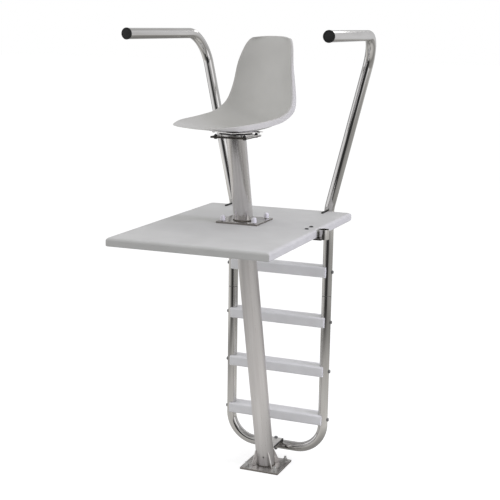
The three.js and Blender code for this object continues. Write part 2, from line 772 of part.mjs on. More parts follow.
// A web welded to the handrail that stands in the deck's slot, on a foot that carries the deck
function makeRailBracket(side, sign) {
  const back = ladderBehind;
  const length = back - bracketFront;
  const middle = (back + bracketFront) / 2;
  const webBottom = deckBottom - bracketThickness;
  const web = new THREE.BoxGeometry(bracketThickness, length, deckTop + bracketProud - webBottom);
  web.translate(sign * stileX, middle, (deckTop + bracketProud + webBottom) / 2);
  const foot = new THREE.BoxGeometry(bracketFootWidth, length, bracketThickness);
  foot.translate(sign * stileX, middle, deckBottom - bracketThickness / 2);
  const tube = rodZ(holeRadius(railRadius + weldGap, roundSides), 0, handrailTop);
  tube.translate(sign * stileX, ladderBehind, 0);
  const cutHeight = 2 * (deckThickness + cutOverrun);
  const behind = new THREE.BoxGeometry(2 * bracketFootWidth, railDiameter, cutHeight);
  behind.translate(sign * stileX, ladderBehind + railRadius / 2, deckTop - deckThickness / 2);
  const [boltX, boltY] = [bracketBoltX(sign), bracketBoltY()];
  const hole = boltHole(bracketBoltDiameter, webBottom - cutOverrun, deckTop, boltX, boltY);
  const joined = solidOf(web).add(solidOf(foot));
  const bracket = joined.subtract(solidOf(tube)).subtract(solidOf(behind)).subtract(solidOf(hole));
  addPiece(`rail_bracket_${side}`, geometryOf(bracket), finishes.polishedSteel);
  const shank = bracketBoltDiameter / 2;
  const bolt = fastener([
    [0, webBottom - bracketBoltHead],
    [hexRadius(bracketBoltAcross), webBottom - bracketBoltHead],
    [hexRadius(bracketBoltAcross), webBottom],
    [shank, webBottom],
    [shank, deckBottom + bracketBoltGrip],
    [0, deckBottom + bracketBoltGrip],
  ]);
  bolt.translate(boltX, boltY, 0);
  addPiece(`rail_bracket_bolt_${side}`, bolt, finishes.zincSteel);
}

// A flat plate from the post's back over the ladder's bottom run, bolted down through the tube
function makeFootPlate() {
  const bottom = ladderFootHeight + railRadius + weldGap;
  const top = bottom + footPlateThickness;
  const back = ladderBehind + footPlateTail;
  const plate = new THREE.BoxGeometry(footPlateWidth, back, footPlateThickness);
  plate.translate(0, back / 2, (bottom + top) / 2);
  const postSpace = leaningBar(postDiameter + 2 * weldGap, 0, 2 * top);
  const hole = boltHole(footBoltDiameter, 0, 2 * top, 0, ladderBehind);
  addPiece('ladder_foot_plate', cut(plate, [postSpace, hole]), finishes.brushedSteel);
  const shank = footBoltDiameter / 2;
  const nutTop = ladderFootHeight - railRadius - weldGap;
  const bolt = fastener([
    [0, nutTop - footNutHeight],
    [hexRadius(footBoltAcross), nutTop - footNutHeight],
    [hexRadius(footBoltAcross), nutTop],
    [shank, nutTop],
    [shank, top],
    [hexRadius(footBoltAcross), top],
    [hexRadius(footBoltAcross), top + footBoltHead],
    [0, top + footBoltHead],
  ]);
  bolt.translate(0, ladderBehind, 0);
  addPiece('ladder_foot_bolt', bolt, finishes.zincSteel);
}

function sleeveBoltPlaces() {
  return [sleeveBehind - sleeveBoltSpacing / 2, sleeveBehind + sleeveBoltSpacing / 2];
}

// An upright sleeve for a pole beside the deck, on a plate bolted up under the deck's edge
function makePoleSleeve() {
  const plateBottom = deckBottom - bracketThickness;
  const bore = holeRadius(railRadius - railWall, railSides);
  const section = new THREE.Shape(circlePoints(railRadius, railRadius, railSides));
  section.holes.push(new THREE.Path(circlePoints(bore, bore, railSides)));
  const sleeve = new THREE.ExtrudeGeometry(section, { depth: deckTop - plateBottom, bevelEnabled: false });
  sleeve.translate(sleeveX, sleeveBehind, plateBottom);
  addPiece('pole_sleeve', sleeve, finishes.polishedSteel);
  const inner = deckWidth / 2 - sleevePlateInset;
  const plate = new THREE.BoxGeometry(sleeveX - inner, sleevePlateWidth, bracketThickness);
  plate.translate((sleeveX + inner) / 2, sleeveBehind, deckBottom - bracketThickness / 2);
  const tools = [rodZ(holeRadius(railRadius + weldGap, roundSides), 0, deckTop)];
  tools[0].translate(sleeveX, sleeveBehind, 0);
  for (const y of sleeveBoltPlaces()) {
    tools.push(boltHole(sleeveBoltDiameter, 0, deckTop, deckWidth / 2 - sleeveBoltInset, y));
  }
  addPiece('sleeve_plate', cut(plate, tools), finishes.polishedSteel);
  sleeveBoltPlaces().forEach((y, i) => makeSleeveBolt(`sleeve_bolt_${i + 1}`, y, plateBottom));
}

function makeSleeveBolt(name, y, plateBottom) {
  const shank = sleeveBoltDiameter / 2;
  const head = hexRadius(sleeveBoltAcross);
  const bolt = fastener([
    [0, plateBottom - sleeveBoltHead],
    [head, plateBottom - sleeveBoltHead],
    [head, plateBottom],
    [shank, plateBottom],
    [shank, deckTop],
    [head, deckTop],
    [head, deckTop + sleeveBoltHead / 2],
    [head / 2, deckTop + sleeveBoltHead],
    [0, deckTop + sleeveBoltHead],
  ]);
  bolt.translate(deckWidth / 2 - sleeveBoltInset, y, 0);
  addPiece(name, bolt, finishes.zincSteel);
}

// The fixed half of the swivel: head plate on the post, lower plate with its race, and the ball ring
function makeSwivelBase() {
  const lipRadius = spindleDiameter / 2 + spindleLip;
  const headBore = 2 * (lipRadius + spindleGap);
  const headSize = { side: swivelSide, thickness: headPlateThickness };
  const head = platePiece(headSize, headPlateUnderside, swivelBoltSpacing, swivelBoltDiameter, headBore);
  head.translate(0, seatAxisY, 0);
  addPiece('post_head_plate', head, finishes.polishedSteel);
  const spindleBore = spindleDiameter + 2 * spindleGap;
  const plateSize = { side: swivelSide, thickness: swivelPlateThickness };
  const plate = platePiece(plateSize, headPlateTop, swivelBoltSpacing, swivelBoltDiameter, spindleBore);
  const race = rodZ(raceDiameter / 2, headPlateTop + swivelPlateThickness / 2, lowerRaceTop);
  const bore = rodZ(holeRadius(spindleBore / 2, roundSides), headPlateUnderside, upperPlateTop);
  const lower = solidOf(plate).add(solidOf(race)).subtract(solidOf(bore));
  addPiece('swivel_lower_plate', geometryOf(lower).translate(0, seatAxisY, 0), finishes.zincSteel);
  squarePlaces(swivelBoltSpacing).forEach(([x, y], i) => {
    makeSwivelBolt(`swivel_bolt_${i + 1}`, x, seatAxisY + y);
  });
  const ring = new THREE.Shape(circlePoints(bearingDiameter / 2, bearingDiameter / 2, roundSides));
  ring.holes.push(new THREE.Path(circlePoints(bearingBore / 2, bearingBore / 2, roundSides)));
  const bearing = new THREE.ExtrudeGeometry(ring, { depth: bearingHeight, bevelEnabled: false });
  bearing.translate(0, seatAxisY, lowerRaceTop + bearingGap);
  addPiece('swivel_ball_ring', bearing, finishes.bearingSteel);
}

function makeSwivelBolt(name, x, y) {
  const shank = swivelBoltDiameter / 2;
  const head = hexRadius(swivelBoltAcross);
  const top = headPlateTop + swivelPlateThickness;
  const bolt = fastener([
    [0, headPlateUnderside - swivelBoltHead],
    [head, headPlateUnderside - swivelBoltHead],
    [head, headPlateUnderside],
    [shank, headPlateUnderside],
    [shank, top],
    [head, top],
    [head, top + swivelBoltHead],
    [0, top + swivelBoltHead],
  ]);
  bolt.translate(x, y, 0);
  addPiece(name, bolt, finishes.zincSteel);
}

// The turning half: upper plate with its race and the spindle that hooks under the lower plate
function makeSwivelTop() {
  const size = { side: upperPlateSide, thickness: swivelPlateThickness };
  const plate = platePiece(size, upperPlateBottom, seatBoltSpacing, seatBoltDiameter);
  const plateMiddle = upperPlateBottom + swivelPlateThickness / 2;
  const race = rodZ(raceDiameter / 2, upperRaceBottom, plateMiddle);
  const lipTop = headPlateTop - spindleGap;
  const spindle = rodZ(spindleDiameter / 2, lipTop - spindleLipHeight / 2, plateMiddle);
  const lip = rodZ(spindleDiameter / 2 + spindleLip, lipTop - spindleLipHeight, lipTop);
  const top = solidOf(plate).add(solidOf(race)).add(solidOf(spindle)).add(solidOf(lip));
  addPiece('swivel_upper_plate', geometryOf(top), finishes.zincSteel, seatGroup);
  squarePlaces(seatBoltSpacing).forEach(([x, y], i) => makeSeatBolt(`seat_bolt_${i + 1}`, x, y));
}

function makeSeatBolt(name, x, y) {
  const shank = seatBoltDiameter / 2;
  const head = hexRadius(seatBoltAcross);
  const bolt = fastener([
    [0, upperPlateBottom - seatBoltHead],
    [head, upperPlateBottom - seatBoltHead],
    [head, upperPlateBottom],
    [shank, upperPlateBottom],
    [shank, upperPlateTop + seatBoltGrip],
    [0, upperPlateTop + seatBoltGrip],
  ]);
  bolt.translate(x, y, 0);
  addPiece(name, bolt, finishes.zincSteel, seatGroup);
}

// A share of the seat's reach, ahead of the axis when positive and behind it when negative
function seatPlace(share) {
  return share > 0 ? share * seatReach : share * seatBackReach;
}

// The bowl's rows, read off smooth curves through the stations
function bowlRows() {
  const rimPoints = seatStationShares.map((share) => new THREE.Vector3(
    (share.rimWidth * seatWidth) / 2,
    -seatPlace(share.rimOut),
    seatPanLevel + share.rimHeight * seatHeight,
  ));
  const midPoints = seatStationShares.map((share) => new THREE.Vector3(
    0,
    -seatPlace(share.midOut),
    seatPanLevel + share.midHeight * seatHeight,
  ));
  const rimCurve = new THREE.CatmullRomCurve3(rimPoints, false, 'catmullrom');
  const midCurve = new THREE.CatmullRomCurve3(midPoints, false, 'catmullrom');
  const spans = seatStationShares.length - 1;
  const count = spans * seatRowsPerStation;
  const rows = [];
  for (let row = 0; row <= count; row += 1) {
    const t = row / count;
    const station = Math.min(Math.floor(t * spans), spans - 1);
    const part = t * spans - station;
    const [before, after] = [seatStationShares[station], seatStationShares[station + 1]];
    const skirt = before.skirt + (after.skirt - before.skirt) * part;
    rows.push({ rim: rimCurve.getPoint(t), mid: midCurve.getPoint(t), skirt });
  }
  return rows;
}

// The bowl's inner face as rows of points from the guard's right to the left
function bowlGrid(rows) {
  return rows.map(({ rim, mid }) => {
    const line = [];
    for (let column = 0; column <= seatColumns; column += 1) {
      const across = (2 * column) / seatColumns - 1;
      const rise = Math.abs(across) ** seatBowlPower;
      const point = mid.clone().lerp(rim, rise);
      point.x = across * rim.x;
      line.push(point);
    }
    return line;
  });
}

// The bowl's face direction at a grid point, towards the guard
function bowlNormal(grid, row, column) {
  const rows = grid.length - 1;
  const along = grid[Math.min(row + 1, rows)][column].clone().sub(grid[Math.max(row - 1, 0)][column]);
  const line = grid[row];
  const across = line[Math.min(column + 1, seatColumns)].clone().sub(line[Math.max(column - 1, 0)]);
  return across.cross(along).normalize();
}

function addQuad(corners, a, b, c, d) {
  corners.push(a, b, c, a, c, d);
}

// Two grids of the same size as facing sheets, the first towards the guard and the second away
function addSheets(corners, front, back) {
  for (let row = 0; row < front.length - 1; row += 1) {
    for (let column = 0; column < seatColumns; column += 1) {
      const next = column + 1;
      addQuad(corners, front[row][column], front[row][next], front[row + 1][next], front[row + 1][column]);
      addQuad(corners, back[row][column], back[row + 1][column], back[row + 1][next], back[row][next]);
    }
  }
}

// The grid's edge as one loop of row and column numbers
function bowlEdge(rows) {
  const edge = [];
  for (let column = 0; column < seatColumns; column += 1) edge.push([0, column]);
  for (let row = 0; row < rows; row += 1) edge.push([row, seatColumns]);
  for (let column = seatColumns; column > 0; column -= 1) edge.push([rows, column]);
  for (let row = rows; row > 0; row -= 1) edge.push([row, 0]);
  return edge;
}

// Rings of the rolled lip and the skirt, each a list of points round the edge
function lipRings(rows, grid, edge) {
  const middle = seatColumns / 2;
  const rings = [[], [], [], [], []];
  edge.forEach(([row, column], i) => {
    const [rowBefore, columnBefore] = edge[(i + edge.length - 1) % edge.length];
    const [rowAfter, columnAfter] = edge[(i + 1) % edge.length];
    const along = grid[rowAfter][columnAfter].clone().sub(grid[rowBefore][columnBefore]).normalize();
    const down = bowlNormal(grid, row, middle).negate();
    const out = along.clone().cross(down).negate().normalize();
    const { skirt } = rows[row];
    const round = seatLipRound * Math.sqrt(skirt);
    const bend = round * Math.SQRT1_2;
    const foot = round + seatSkirtFlare * skirt;
    const steps = [
      { out: bend, down: round - bend },
      { out: round, down: round },
      { out: foot, down: seatSkirt * skirt },
      { out: foot - seatWall, down: seatSkirt * skirt },
      { out: round - seatWall, down: round },
    ];
    steps.forEach((step, k) => {
      const point = grid[row][column].clone();
      rings[k].push(point.addScaledVector(out, step.out).addScaledVector(down, step.down));
    });
  });
  return rings;
}

// The closed shell: inner face, rolled lip, skirt and the outer face one wall behind the inner one
function bowlShell() {
  const rows = bowlRows();
  const grid = bowlGrid(rows);
  const last = rows.length - 1;
  const outer = grid.map((line, row) => line.map((point, column) => (
    point.clone().addScaledVector(bowlNormal(grid, row, column), -seatWall)
  )));
  const edge = bowlEdge(last);
  const loops = [
    edge.map(([row, column]) => grid[row][column]),
    ...lipRings(rows, grid, edge),
    edge.map(([row, column]) => outer[row][column]),
  ];
  const corners = [];
  addSheets(corners, grid, outer);
  for (let k = 0; k < loops.length - 1; k += 1) {
    for (let i = 0; i < edge.length; i += 1) {
      const next = (i + 1) % edge.length;
      addQuad(corners, loops[k][i], loops[k + 1][i], loops[k + 1][next], loops[k][next]);
    }
  }
  return new THREE.BufferGeometry().setFromPoints(corners);
}

// The space over the middle of the pan's wall, which the plinth must not enter
function panSpace() {
  const highest = seatPanLevel + panHeightShare * seatHeight;
  const grid = bowlGrid(bowlRows().filter(({ mid }) => mid.z < highest));
  const low = grid.map((line) => line.map((point) => point.clone().setZ(point.z - seatWall / 2)));
  const high = low.map((line) => line.map((point) => point.clone().setZ(seatPanLevel + seatHeight)));
  const edge = bowlEdge(grid.length - 1);
  const corners = [];
  addSheets(corners, high, low);
  edge.forEach(([row, column], i) => {
    const [rowAfter, columnAfter] = edge[(i + 1) % edge.length];
    const [highAfter, lowAfter] = [high[rowAfter][columnAfter], low[rowAfter][columnAfter]];
    addQuad(corners, high[row][column], low[row][column], lowAfter, highAfter);
  });
  return new THREE.BufferGeometry().setFromPoints(corners);
}

function makeSeat() {
  const foot = upperPlateTop + weldGap;
  const plinth = new THREE.LatheGeometry([
    new THREE.Vector2(0, foot),
    new THREE.Vector2(seatPlinthFoot / 2, foot),
    new THREE.Vector2(seatPlinthTop / 2, foot + seatPlinthRise),
    new THREE.Vector2(0, foot + seatPlinthRise),
  ], roundSides);
  plinth.rotateX(Math.PI / 2);
  let seat = solidOf(plinth).subtract(solidOf(panSpace())).add(solidOf(bowlShell()));
  for (const [x, y] of squarePlaces(seatBoltSpacing)) {
    const [bottom, top] = [upperPlateTop - cutOverrun, upperPlateTop + seatBoltGrip + boltRoom];
    seat = seat.subtract(solidOf(boltHole(seatBoltDiameter, bottom, top, x, y)));
  }
  addPiece('seat_shell', geometryOf(seat), finishes.seatPlastic, seatGroup);
}

makeAnchorPlate();
makePosts();
makeDeck();
makeFlanges();
makeLadderTube();
for (const { side, sign } of sides) {
  makeHandrail(side, sign);
  makeRailBracket(side, sign);
}
for (let i = 0; i < treadCount; i += 1) makeTread(i);
makeFootPlate();
makePoleSleeve();
makeSwivelBase();
makeSwivelTop();
makeSeat();

export default chair;
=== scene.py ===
from math import ceil, cos, pi, radians, sin, sqrt, tan

import bmesh
import bpy
from mathutils import Matrix, Vector


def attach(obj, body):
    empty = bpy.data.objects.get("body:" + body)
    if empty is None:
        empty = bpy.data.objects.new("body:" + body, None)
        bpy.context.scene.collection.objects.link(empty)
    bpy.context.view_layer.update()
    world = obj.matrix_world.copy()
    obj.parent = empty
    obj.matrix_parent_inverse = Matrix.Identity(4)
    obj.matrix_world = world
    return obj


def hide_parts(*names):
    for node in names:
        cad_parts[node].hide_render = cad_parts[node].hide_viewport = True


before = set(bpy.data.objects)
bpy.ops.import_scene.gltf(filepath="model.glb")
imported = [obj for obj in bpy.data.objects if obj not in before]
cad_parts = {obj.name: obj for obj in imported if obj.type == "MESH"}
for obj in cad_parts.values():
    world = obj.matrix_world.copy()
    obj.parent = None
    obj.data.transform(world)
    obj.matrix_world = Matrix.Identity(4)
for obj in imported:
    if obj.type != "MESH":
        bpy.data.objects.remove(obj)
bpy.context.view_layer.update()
scene = bpy.context.scene
mm = 0.001
sliver = 0.1 * mm    # the least step between two rows that still keeps their faces open
quarterTurn = pi / 2


# A dictionary of lengths that are written in mm
def lengths(**sizes):
    return {name: size * mm for name, size in sizes.items()}


# sRGB hex to the linear values that the shaders take
def linearColour(code):
    channels = [int(code[i:i + 2], 16) / 255 for i in (1, 3, 5)]
    return [c / 12.92 if c <= 0.04045 else ((c + 0.055) / 1.055) ** 2.4 for c in channels] + [1.0]


# Each socket takes a value, a socket to link from, or a node, which stands for its first output
def feed(tree, node, inputs):
    for socket, source in inputs.items():
        if isinstance(source, bpy.types.Node):
            source = source.outputs[0]
        if isinstance(source, bpy.types.NodeSocket):
            tree.links.new(source, node.inputs[socket])
        else:
            node.inputs[socket].default_value = source


def addNode(tree, kind, inputs=None, **settings):
    node = tree.nodes.new(kind)
    for name, value in settings.items():
        setattr(node, name, value)
    feed(tree, node, inputs or {})
    return node


def calculate(tree, operation, *inputs):
    return addNode(tree, "ShaderNodeMath", dict(enumerate(inputs)), operation=operation)


def mapRange(tree, value, low, high, start=0.0, end=1.0):
    spans = {"From Min": start, "From Max": end, "To Min": low, "To Max": high}
    return addNode(tree, "ShaderNodeMapRange", {"Value": value, **spans})


def objectPlace(tree):
    return addNode(tree, "ShaderNodeTexCoord").outputs["Object"]


def newMaterial(name, inputs):
    material = bpy.data.materials.new(name)
    material.use_nodes = True
    tree = material.node_tree
    shader = tree.nodes["Principled BSDF"]
    feed(tree, shader, inputs)
    return material, tree, shader


# Each stop is a place from 0 to 1 and a colour
def colourRamp(tree, factor, stops):
    ramp = addNode(tree, "ShaderNodeValToRGB", {"Fac": factor})
    marks = ramp.color_ramp.elements
    while len(marks) < len(stops):
        marks.new(0.5)
    for mark, (place, colour) in zip(marks, stops):
        mark.position = place
        mark.color = colour
    return ramp


# Where nearly all of a noise's values lie
noiseLow, noiseHigh = 0.3, 0.7


# A noise whose blobs have a real size in mm along each axis
def grainNoise(tree, source, size, turn=(0, 0, 0), detail=2.0):
    place = {"Vector": source, "Rotation": turn, "Scale": [s * mm for s in size]}
    mapping = addNode(tree, "ShaderNodeMapping", place, vector_type="TEXTURE")
    return addNode(tree, "ShaderNodeTexNoise", {"Vector": mapping, "Scale": 1.0, "Detail": detail})


# What every finish has: two tones in soft clouds, a roughness that follows a noise, and a fine relief
def dressShader(tree, shader, tones, clouds, rough, roughNoise, relief, strength, depth):
    stops = [(place, linearColour(tone)) for place, tone in zip((noiseLow, noiseHigh), tones)]
    bump = addNode(tree, "ShaderNodeBump", {"Height": relief, "Strength": strength, "Distance": depth})
    feed(tree, shader, {"Base Color": colourRamp(tree, clouds, stops), "Normal": bump,
                        "Roughness": mapRange(tree, roughNoise, *rough, noiseLow, noiseHigh)})


leanAngle = radians(14.67)
postTurn = (leanAngle, 0, 0)

# Two tones, roughness, relief, and the size in mm of the streaks and of the clouds along x, y and z
metalLooks = {
    "polished_stainless_tube": ("#C5C3C1", "#D5D4D2", (0.07, 0.10), 0.02, (2.2, 2.2, 160), (30, 30, 260)),
    "polished_stainless_nut": ("#C5C3C1", "#D5D4D2", (0.07, 0.10), 0.02, (2.2, 2.2, 160), (30, 30, 260)),
    "polished_stainless_post": ("#CBC8C7", "#DBD9D8", (0.16, 0.28), 0.16, (1.6, 1.6, 140), (12, 12, 420)),
    "satin_stainless_post": ("#D2CFCF", "#DDDBDB", (0.27, 0.38), 0.1, (1.3, 1.3, 120), (14, 14, 420)),
    "polished_stainless_plate": ("#B4B0AF", "#CAC8C6", (0.24, 0.38), 0.15, (1.4, 60, 1.4), (45, 60, 45)),
    "mirror_polished_flange": ("#B4B0AF", "#CAC8C6", (0.1, 0.2), 0.15, (1.4, 60, 1.4), (45, 60, 45)),
    "satin_stainless_plate": ("#C3BFBE", "#DEDCDA", (0.22, 0.40), 0.2, (1.4, 40, 1.4), (22, 30, 22)),
    # a paler plate colour that paints highlights and reflections: gusset edges, the foot tie and the swivel
    # plates
    "electropolished_plate": ("#DDDBD9", "#F0EEEC", (0.30, 0.42), 0.12, (1.2, 30, 1.2), (18, 18, 18)),
    "stainless_weld": ("#9C9792", "#C4C1BA", (0.28, 0.46), 0.35, (1.2, 1.2, 1.2), (9, 9, 9)),
    # a darker weld colour that paints the shade in the corners round the welds
    "heat_tinted_weld": ("#4E4A46", "#86817A", (0.34, 0.52), 0.35, (1.2, 1.2, 1.2), (6, 6, 6)),
    "bright_zinc_anchor": ("#BDBDBC", "#DCDCDA", (0.32, 0.48), 0.2, (0.9, 0.9, 0.9), (4, 4, 4)),
    "zinc_plated_steel": ("#8E8E90", "#ABABAC", (0.28, 0.44), 0.2, (0.9, 0.9, 0.9), (4, 4, 4)),
    # two edge colours that paint the shade on the plates' upright edges, the second one paler
    "laser_cut_edge": ("#4A4643", "#66625E", (0.30, 0.48), 0.3, (0.8, 0.8, 6), (8, 8, 8)),
    "sawn_edge": ("#827D79", "#A5A09B", (0.34, 0.5), 0.3, (0.8, 0.8, 6), (14, 14, 8)),
    # dark steel for balls and small bolts, and a painted shade on the splice tubes seen in the joint gaps
    "oiled_bearing_steel": ("#3E3E40", "#5C5C5E", (0.3, 0.5), 0.2, (1, 1, 1), (5, 5, 5)),
}
# Two tones, roughness, refraction, gloss, relief, and the size in mm of the pebbles and of the clouds
plasticLooks = {
    "deck_moulded_plastic": ("#C5C5C3", "#CBCBC9", (0.58, 0.70), 1.5, 0.28, 0.35, 1.1, 90),
    "tread_moulded_plastic": ("#E8E8E9", "#EEEEEF", (0.42, 0.52), 1.5, 0.4, 0.25, 0.9, 70),
    "seat_moulded_plastic": ("#C4C3C0", "#C9C8C5", (0.33, 0.4), 1.5, 0.5, 0.18, 0.8, 110),
    # a pale plastic colour that paints the highlights on the nut caps and the bounced light on the seat's
    # plinth
    "moulded_white_nylon": ("#E2E0E6", "#ECEAF0", (0.28, 0.38), 1.53, 0.5, 0.1, 0.6, 12),
    # black rubber for the end caps, and the black sheets that paint shadow at the bracket slots and the foot
    # tie
    "moulded_rubber": ("#181818", "#232323", (0.5, 0.65), 1.5, 0.5, 0.4, 0.7, 12),
}
reliefDepth = {"metal": 0.05 * mm, "plastic": 0.15 * mm}


# 304 stainless: drawn, then polished along its length, so the eye gets long soft streaks in a mirror
def metal(name, grain=None, turn=(0, 0, 0)):
    dark, light, rough, relief, streakSize, cloudSize = metalLooks[name]
    material, tree, shader = newMaterial(name, {"Metallic": 1.0})
    source = objectPlace(tree)
    if grain:
        source = addNode(tree, "ShaderNodeAttribute", attribute_name=grain).outputs["Vector"]
    streak = grainNoise(tree, source, streakSize, turn, 3.0)
    cloud = grainNoise(tree, source, cloudSize, turn)
    dressShader(tree, shader, (dark, light), cloud, rough, streak, streak, relief, reliefDepth["metal"])
    return material


# Moulded polyethylene or ABS: a fine pebbled skin over an even colour with a faint cloudiness
def plastic(name):
    dark, light, rough, refraction, gloss, relief, pebbleSize, cloudSize = plasticLooks[name]
    material, tree, shader = newMaterial(name, {"IOR": refraction, "Specular IOR Level": gloss})
    source = objectPlace(tree)
    pebble = grainNoise(tree, source, [pebbleSize] * 3, detail=1.0)
    cloud = grainNoise(tree, source, [cloudSize] * 3)
    dressShader(tree, shader, (dark, light), cloud, rough, cloud, pebble, relief, reliefDepth["plastic"])
    return material


polishedTube = metal("polished_stainless_tube", grain="grain")
polishedPost = metal("polished_stainless_post", turn=postTurn)
satinPost = metal("satin_stainless_post", turn=postTurn)
polishedPlate = metal("polished_stainless_plate")
flangePlate = metal("mirror_polished_flange")
satinPlate = metal("satin_stainless_plate")
brightPlate = metal("electropolished_plate")
weldMetal = metal("stainless_weld")
tintedWeld = metal("heat_tinted_weld")
polishedNut = metal("polished_stainless_nut")
anchorSteel = metal("bright_zinc_anchor")
zincSteel = metal("zinc_plated_steel")
cutEdge = metal("laser_cut_edge")
sawnEdge = metal("sawn_edge")
bearingSteel = metal("oiled_bearing_steel")
deckPlastic = plastic("deck_moulded_plastic")
treadPlastic = plastic("tread_moulded_plastic")
seatPlastic = plastic("seat_moulded_plastic")
capNylon = plastic("moulded_white_nylon")
capRubber = plastic("moulded_rubber")
print("materials made:", len(bpy.data.materials))


def linked(name, mesh):
    piece = bpy.data.objects.new(name, mesh)
    scene.collection.objects.link(piece)
    return piece


def meshPiece(name, points, faces, material):
    mesh = bpy.data.meshes.new(name)
    mesh.from_pydata([tuple(p) for p in points], [], faces)
    mesh.materials.append(material)
    piece = linked(name, mesh)
    smooth(piece)
    return piece


def smooth(piece, angle=35):
    piece.data.shade_smooth()
    piece.data.set_sharp_from_angle(angle=radians(angle))


def applyModifiers(piece):
    graph = bpy.context.evaluated_depsgraph_get()
    mesh = bpy.data.meshes.new_from_object(piece.evaluated_get(graph))
    piece.modifiers.clear()
    piece.data = mesh


# Doubled points become one, then the edit that is named
def weldPoints(piece, reach, edit):
    work = bmesh.new()
    work.from_mesh(piece.data)
    bmesh.ops.remove_doubles(work, verts=work.verts, dist=reach)
    edit(work)
    work.to_mesh(piece.data)
    work.free()


def outward(piece):
    weldPoints(piece, 0.002 * mm, lambda work: bmesh.ops.recalc_face_normals(work, faces=work.faces))


def cutAway(piece, tool):
    cutter = piece.modifiers.new("cut", "BOOLEAN")
    cutter.operation = "DIFFERENCE"
    cutter.solver = "EXACT"
    cutter.object = tool
    applyModifiers(piece)
    bpy.data.objects.remove(tool)


def softenEdges(piece, width, angle=40, segments=3):
    bevel = piece.modifiers.new("soften", "BEVEL")
    bevel.width = width
    bevel.segments = segments
    bevel.limit_method = "ANGLE"
    bevel.angle_limit = radians(angle)
    bevel.harden_normals = False
    applyModifiers(piece)
    smooth(piece, 30)


# Large faces keep their own normals, so that a rounded edge doesn't shade across the face beside it
def finish(piece, nodes=(), body="frame"):
    weighted = piece.modifiers.new("faceNormals", "WEIGHTED_NORMAL")
    weighted.keep_sharp = True
    applyModifiers(piece)
    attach(piece, body)
    if nodes:
        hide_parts(*nodes)


# Faces between loops of point numbers, each loop closed on itself
def loopFaces(loops):
    faces = []
    for near, far in zip(loops, loops[1:]):
        for i in range(len(near)):
            j = (i + 1) % len(near)
            faces.append((near[i], near[j], far[j], far[i]))
    return faces


# Rings stacked to a solid with flat ends, or a tube whose rings run outside, over the rim, inside and back
def ringSolid(name, rings, material, closed=False):
    count = len(rings[0])
    loops = [range(k * count, (k + 1) * count) for k in range(len(rings))]
    faces = loopFaces(loops + loops[:1] if closed else loops)
    if not closed:
        faces += [tuple(reversed(loops[0])), tuple(loops[-1])]
    return meshPiece(name, [p for ring in rings for p in ring], faces, material)


# The radius of a turned row at an angle, cut down to a hexagon where the row names its width across flats
def rowRadius(radius, across, angle):
    if not across:
        return radius
    flat = (angle + pi / 6) % (pi / 3) - pi / 6
    return min(radius, across / 2 / cos(flat))


def around(angle, radius, x=0, y=0):
    return x + radius * cos(angle), y + radius * sin(angle)


def turnedRings(profile, sides, centre=(0, 0)):
    rings = []
    for row in profile:
        radius, height, across = (list(row) + [0])[:3]
        ring = []
        for i in range(sides):
            angle = 2 * pi * i / sides
            ring.append((*around(angle, rowRadius(radius, across, angle), *centre), height))
        rings.append(ring)
    return rings


# A quarter round as steps of the sine and of what the cosine has lost
def quarterRound(steps, first=0):
    angles = [quarterTurn * i / steps for i in range(first, steps + 1)]
    return [(sin(angle), 1 - cos(angle)) for angle in angles]


# A Geometry Nodes tree with named inputs
def newTree(name, sockets):
    tree = bpy.data.node_groups.new(name, "GeometryNodeTree")
    tree.is_modifier = True
    for label, kind in {"Geometry": "Geometry", **sockets, "Material": "Material"}.items():
        tree.interface.new_socket(label, in_out="INPUT", socket_type="NodeSocket" + kind)
    tree.interface.new_socket("Geometry", in_out="OUTPUT", socket_type="NodeSocketGeometry")
    return tree, tree.nodes.new("NodeGroupInput").outputs


# Every tree ends the same way: instances made real and one material
def endTree(tree, geometry, material):
    real = addNode(tree, "GeometryNodeRealizeInstances", {"Geometry": geometry})
    dressed = addNode(tree, "GeometryNodeSetMaterial", {"Geometry": real, "Material": material})
    addNode(tree, "NodeGroupOutput", {"Geometry": dressed})
    return tree


def runTree(piece, tree, values):
    modifier = piece.modifiers.new(tree.name, "NODES")
    modifier.node_group = tree
    for item in tree.interface.items_tree:
        if item.in_out == "INPUT" and item.name in values:
            modifier[item.identifier] = values[item.name]
    applyModifiers(piece)
    smooth(piece)
    return piece


def storeValue(tree, name, kind, geometry, value):
    inputs = {"Name": name, "Geometry": geometry, "Value": value}
    return addNode(tree, "GeometryNodeStoreNamedAttribute", inputs, data_type=kind)


def storedValue(tree, name, kind):
    return addNode(tree, "GeometryNodeInputNamedAttribute", {"Name": name}, data_type=kind)


# A round tube along a path, with a seamless grain coordinate: place on the section, then distance along
def makeTubeTree():
    tree, given = newTree("bentTube", {"Radius": "Float", "Sides": "Int"})
    path = addNode(tree, "GeometryNodeMeshToCurve", {"Mesh": given["Geometry"]})
    length = addNode(tree, "GeometryNodeSplineParameter").outputs["Length"]
    size = {"Resolution": given["Sides"], "Radius": given["Radius"]}
    circle = addNode(tree, "GeometryNodeCurvePrimitiveCircle", size)
    place = addNode(tree, "GeometryNodeInputPosition")
    tube = addNode(tree, "GeometryNodeCurveToMesh", {
        "Curve": storeValue(tree, "along", "FLOAT", path, length),
        "Profile Curve": storeValue(tree, "section", "FLOAT_VECTOR", circle, place)})
    section = storedValue(tree, "section", "FLOAT_VECTOR")
    along = storedValue(tree, "along", "FLOAT")
    split = addNode(tree, "ShaderNodeSeparateXYZ", {"Vector": section}).outputs
    grain = addNode(tree, "ShaderNodeCombineXYZ", {"X": split["X"], "Y": split["Y"], "Z": along})
    return endTree(tree, storeValue(tree, "grain", "FLOAT_VECTOR", tube, grain), given["Material"])


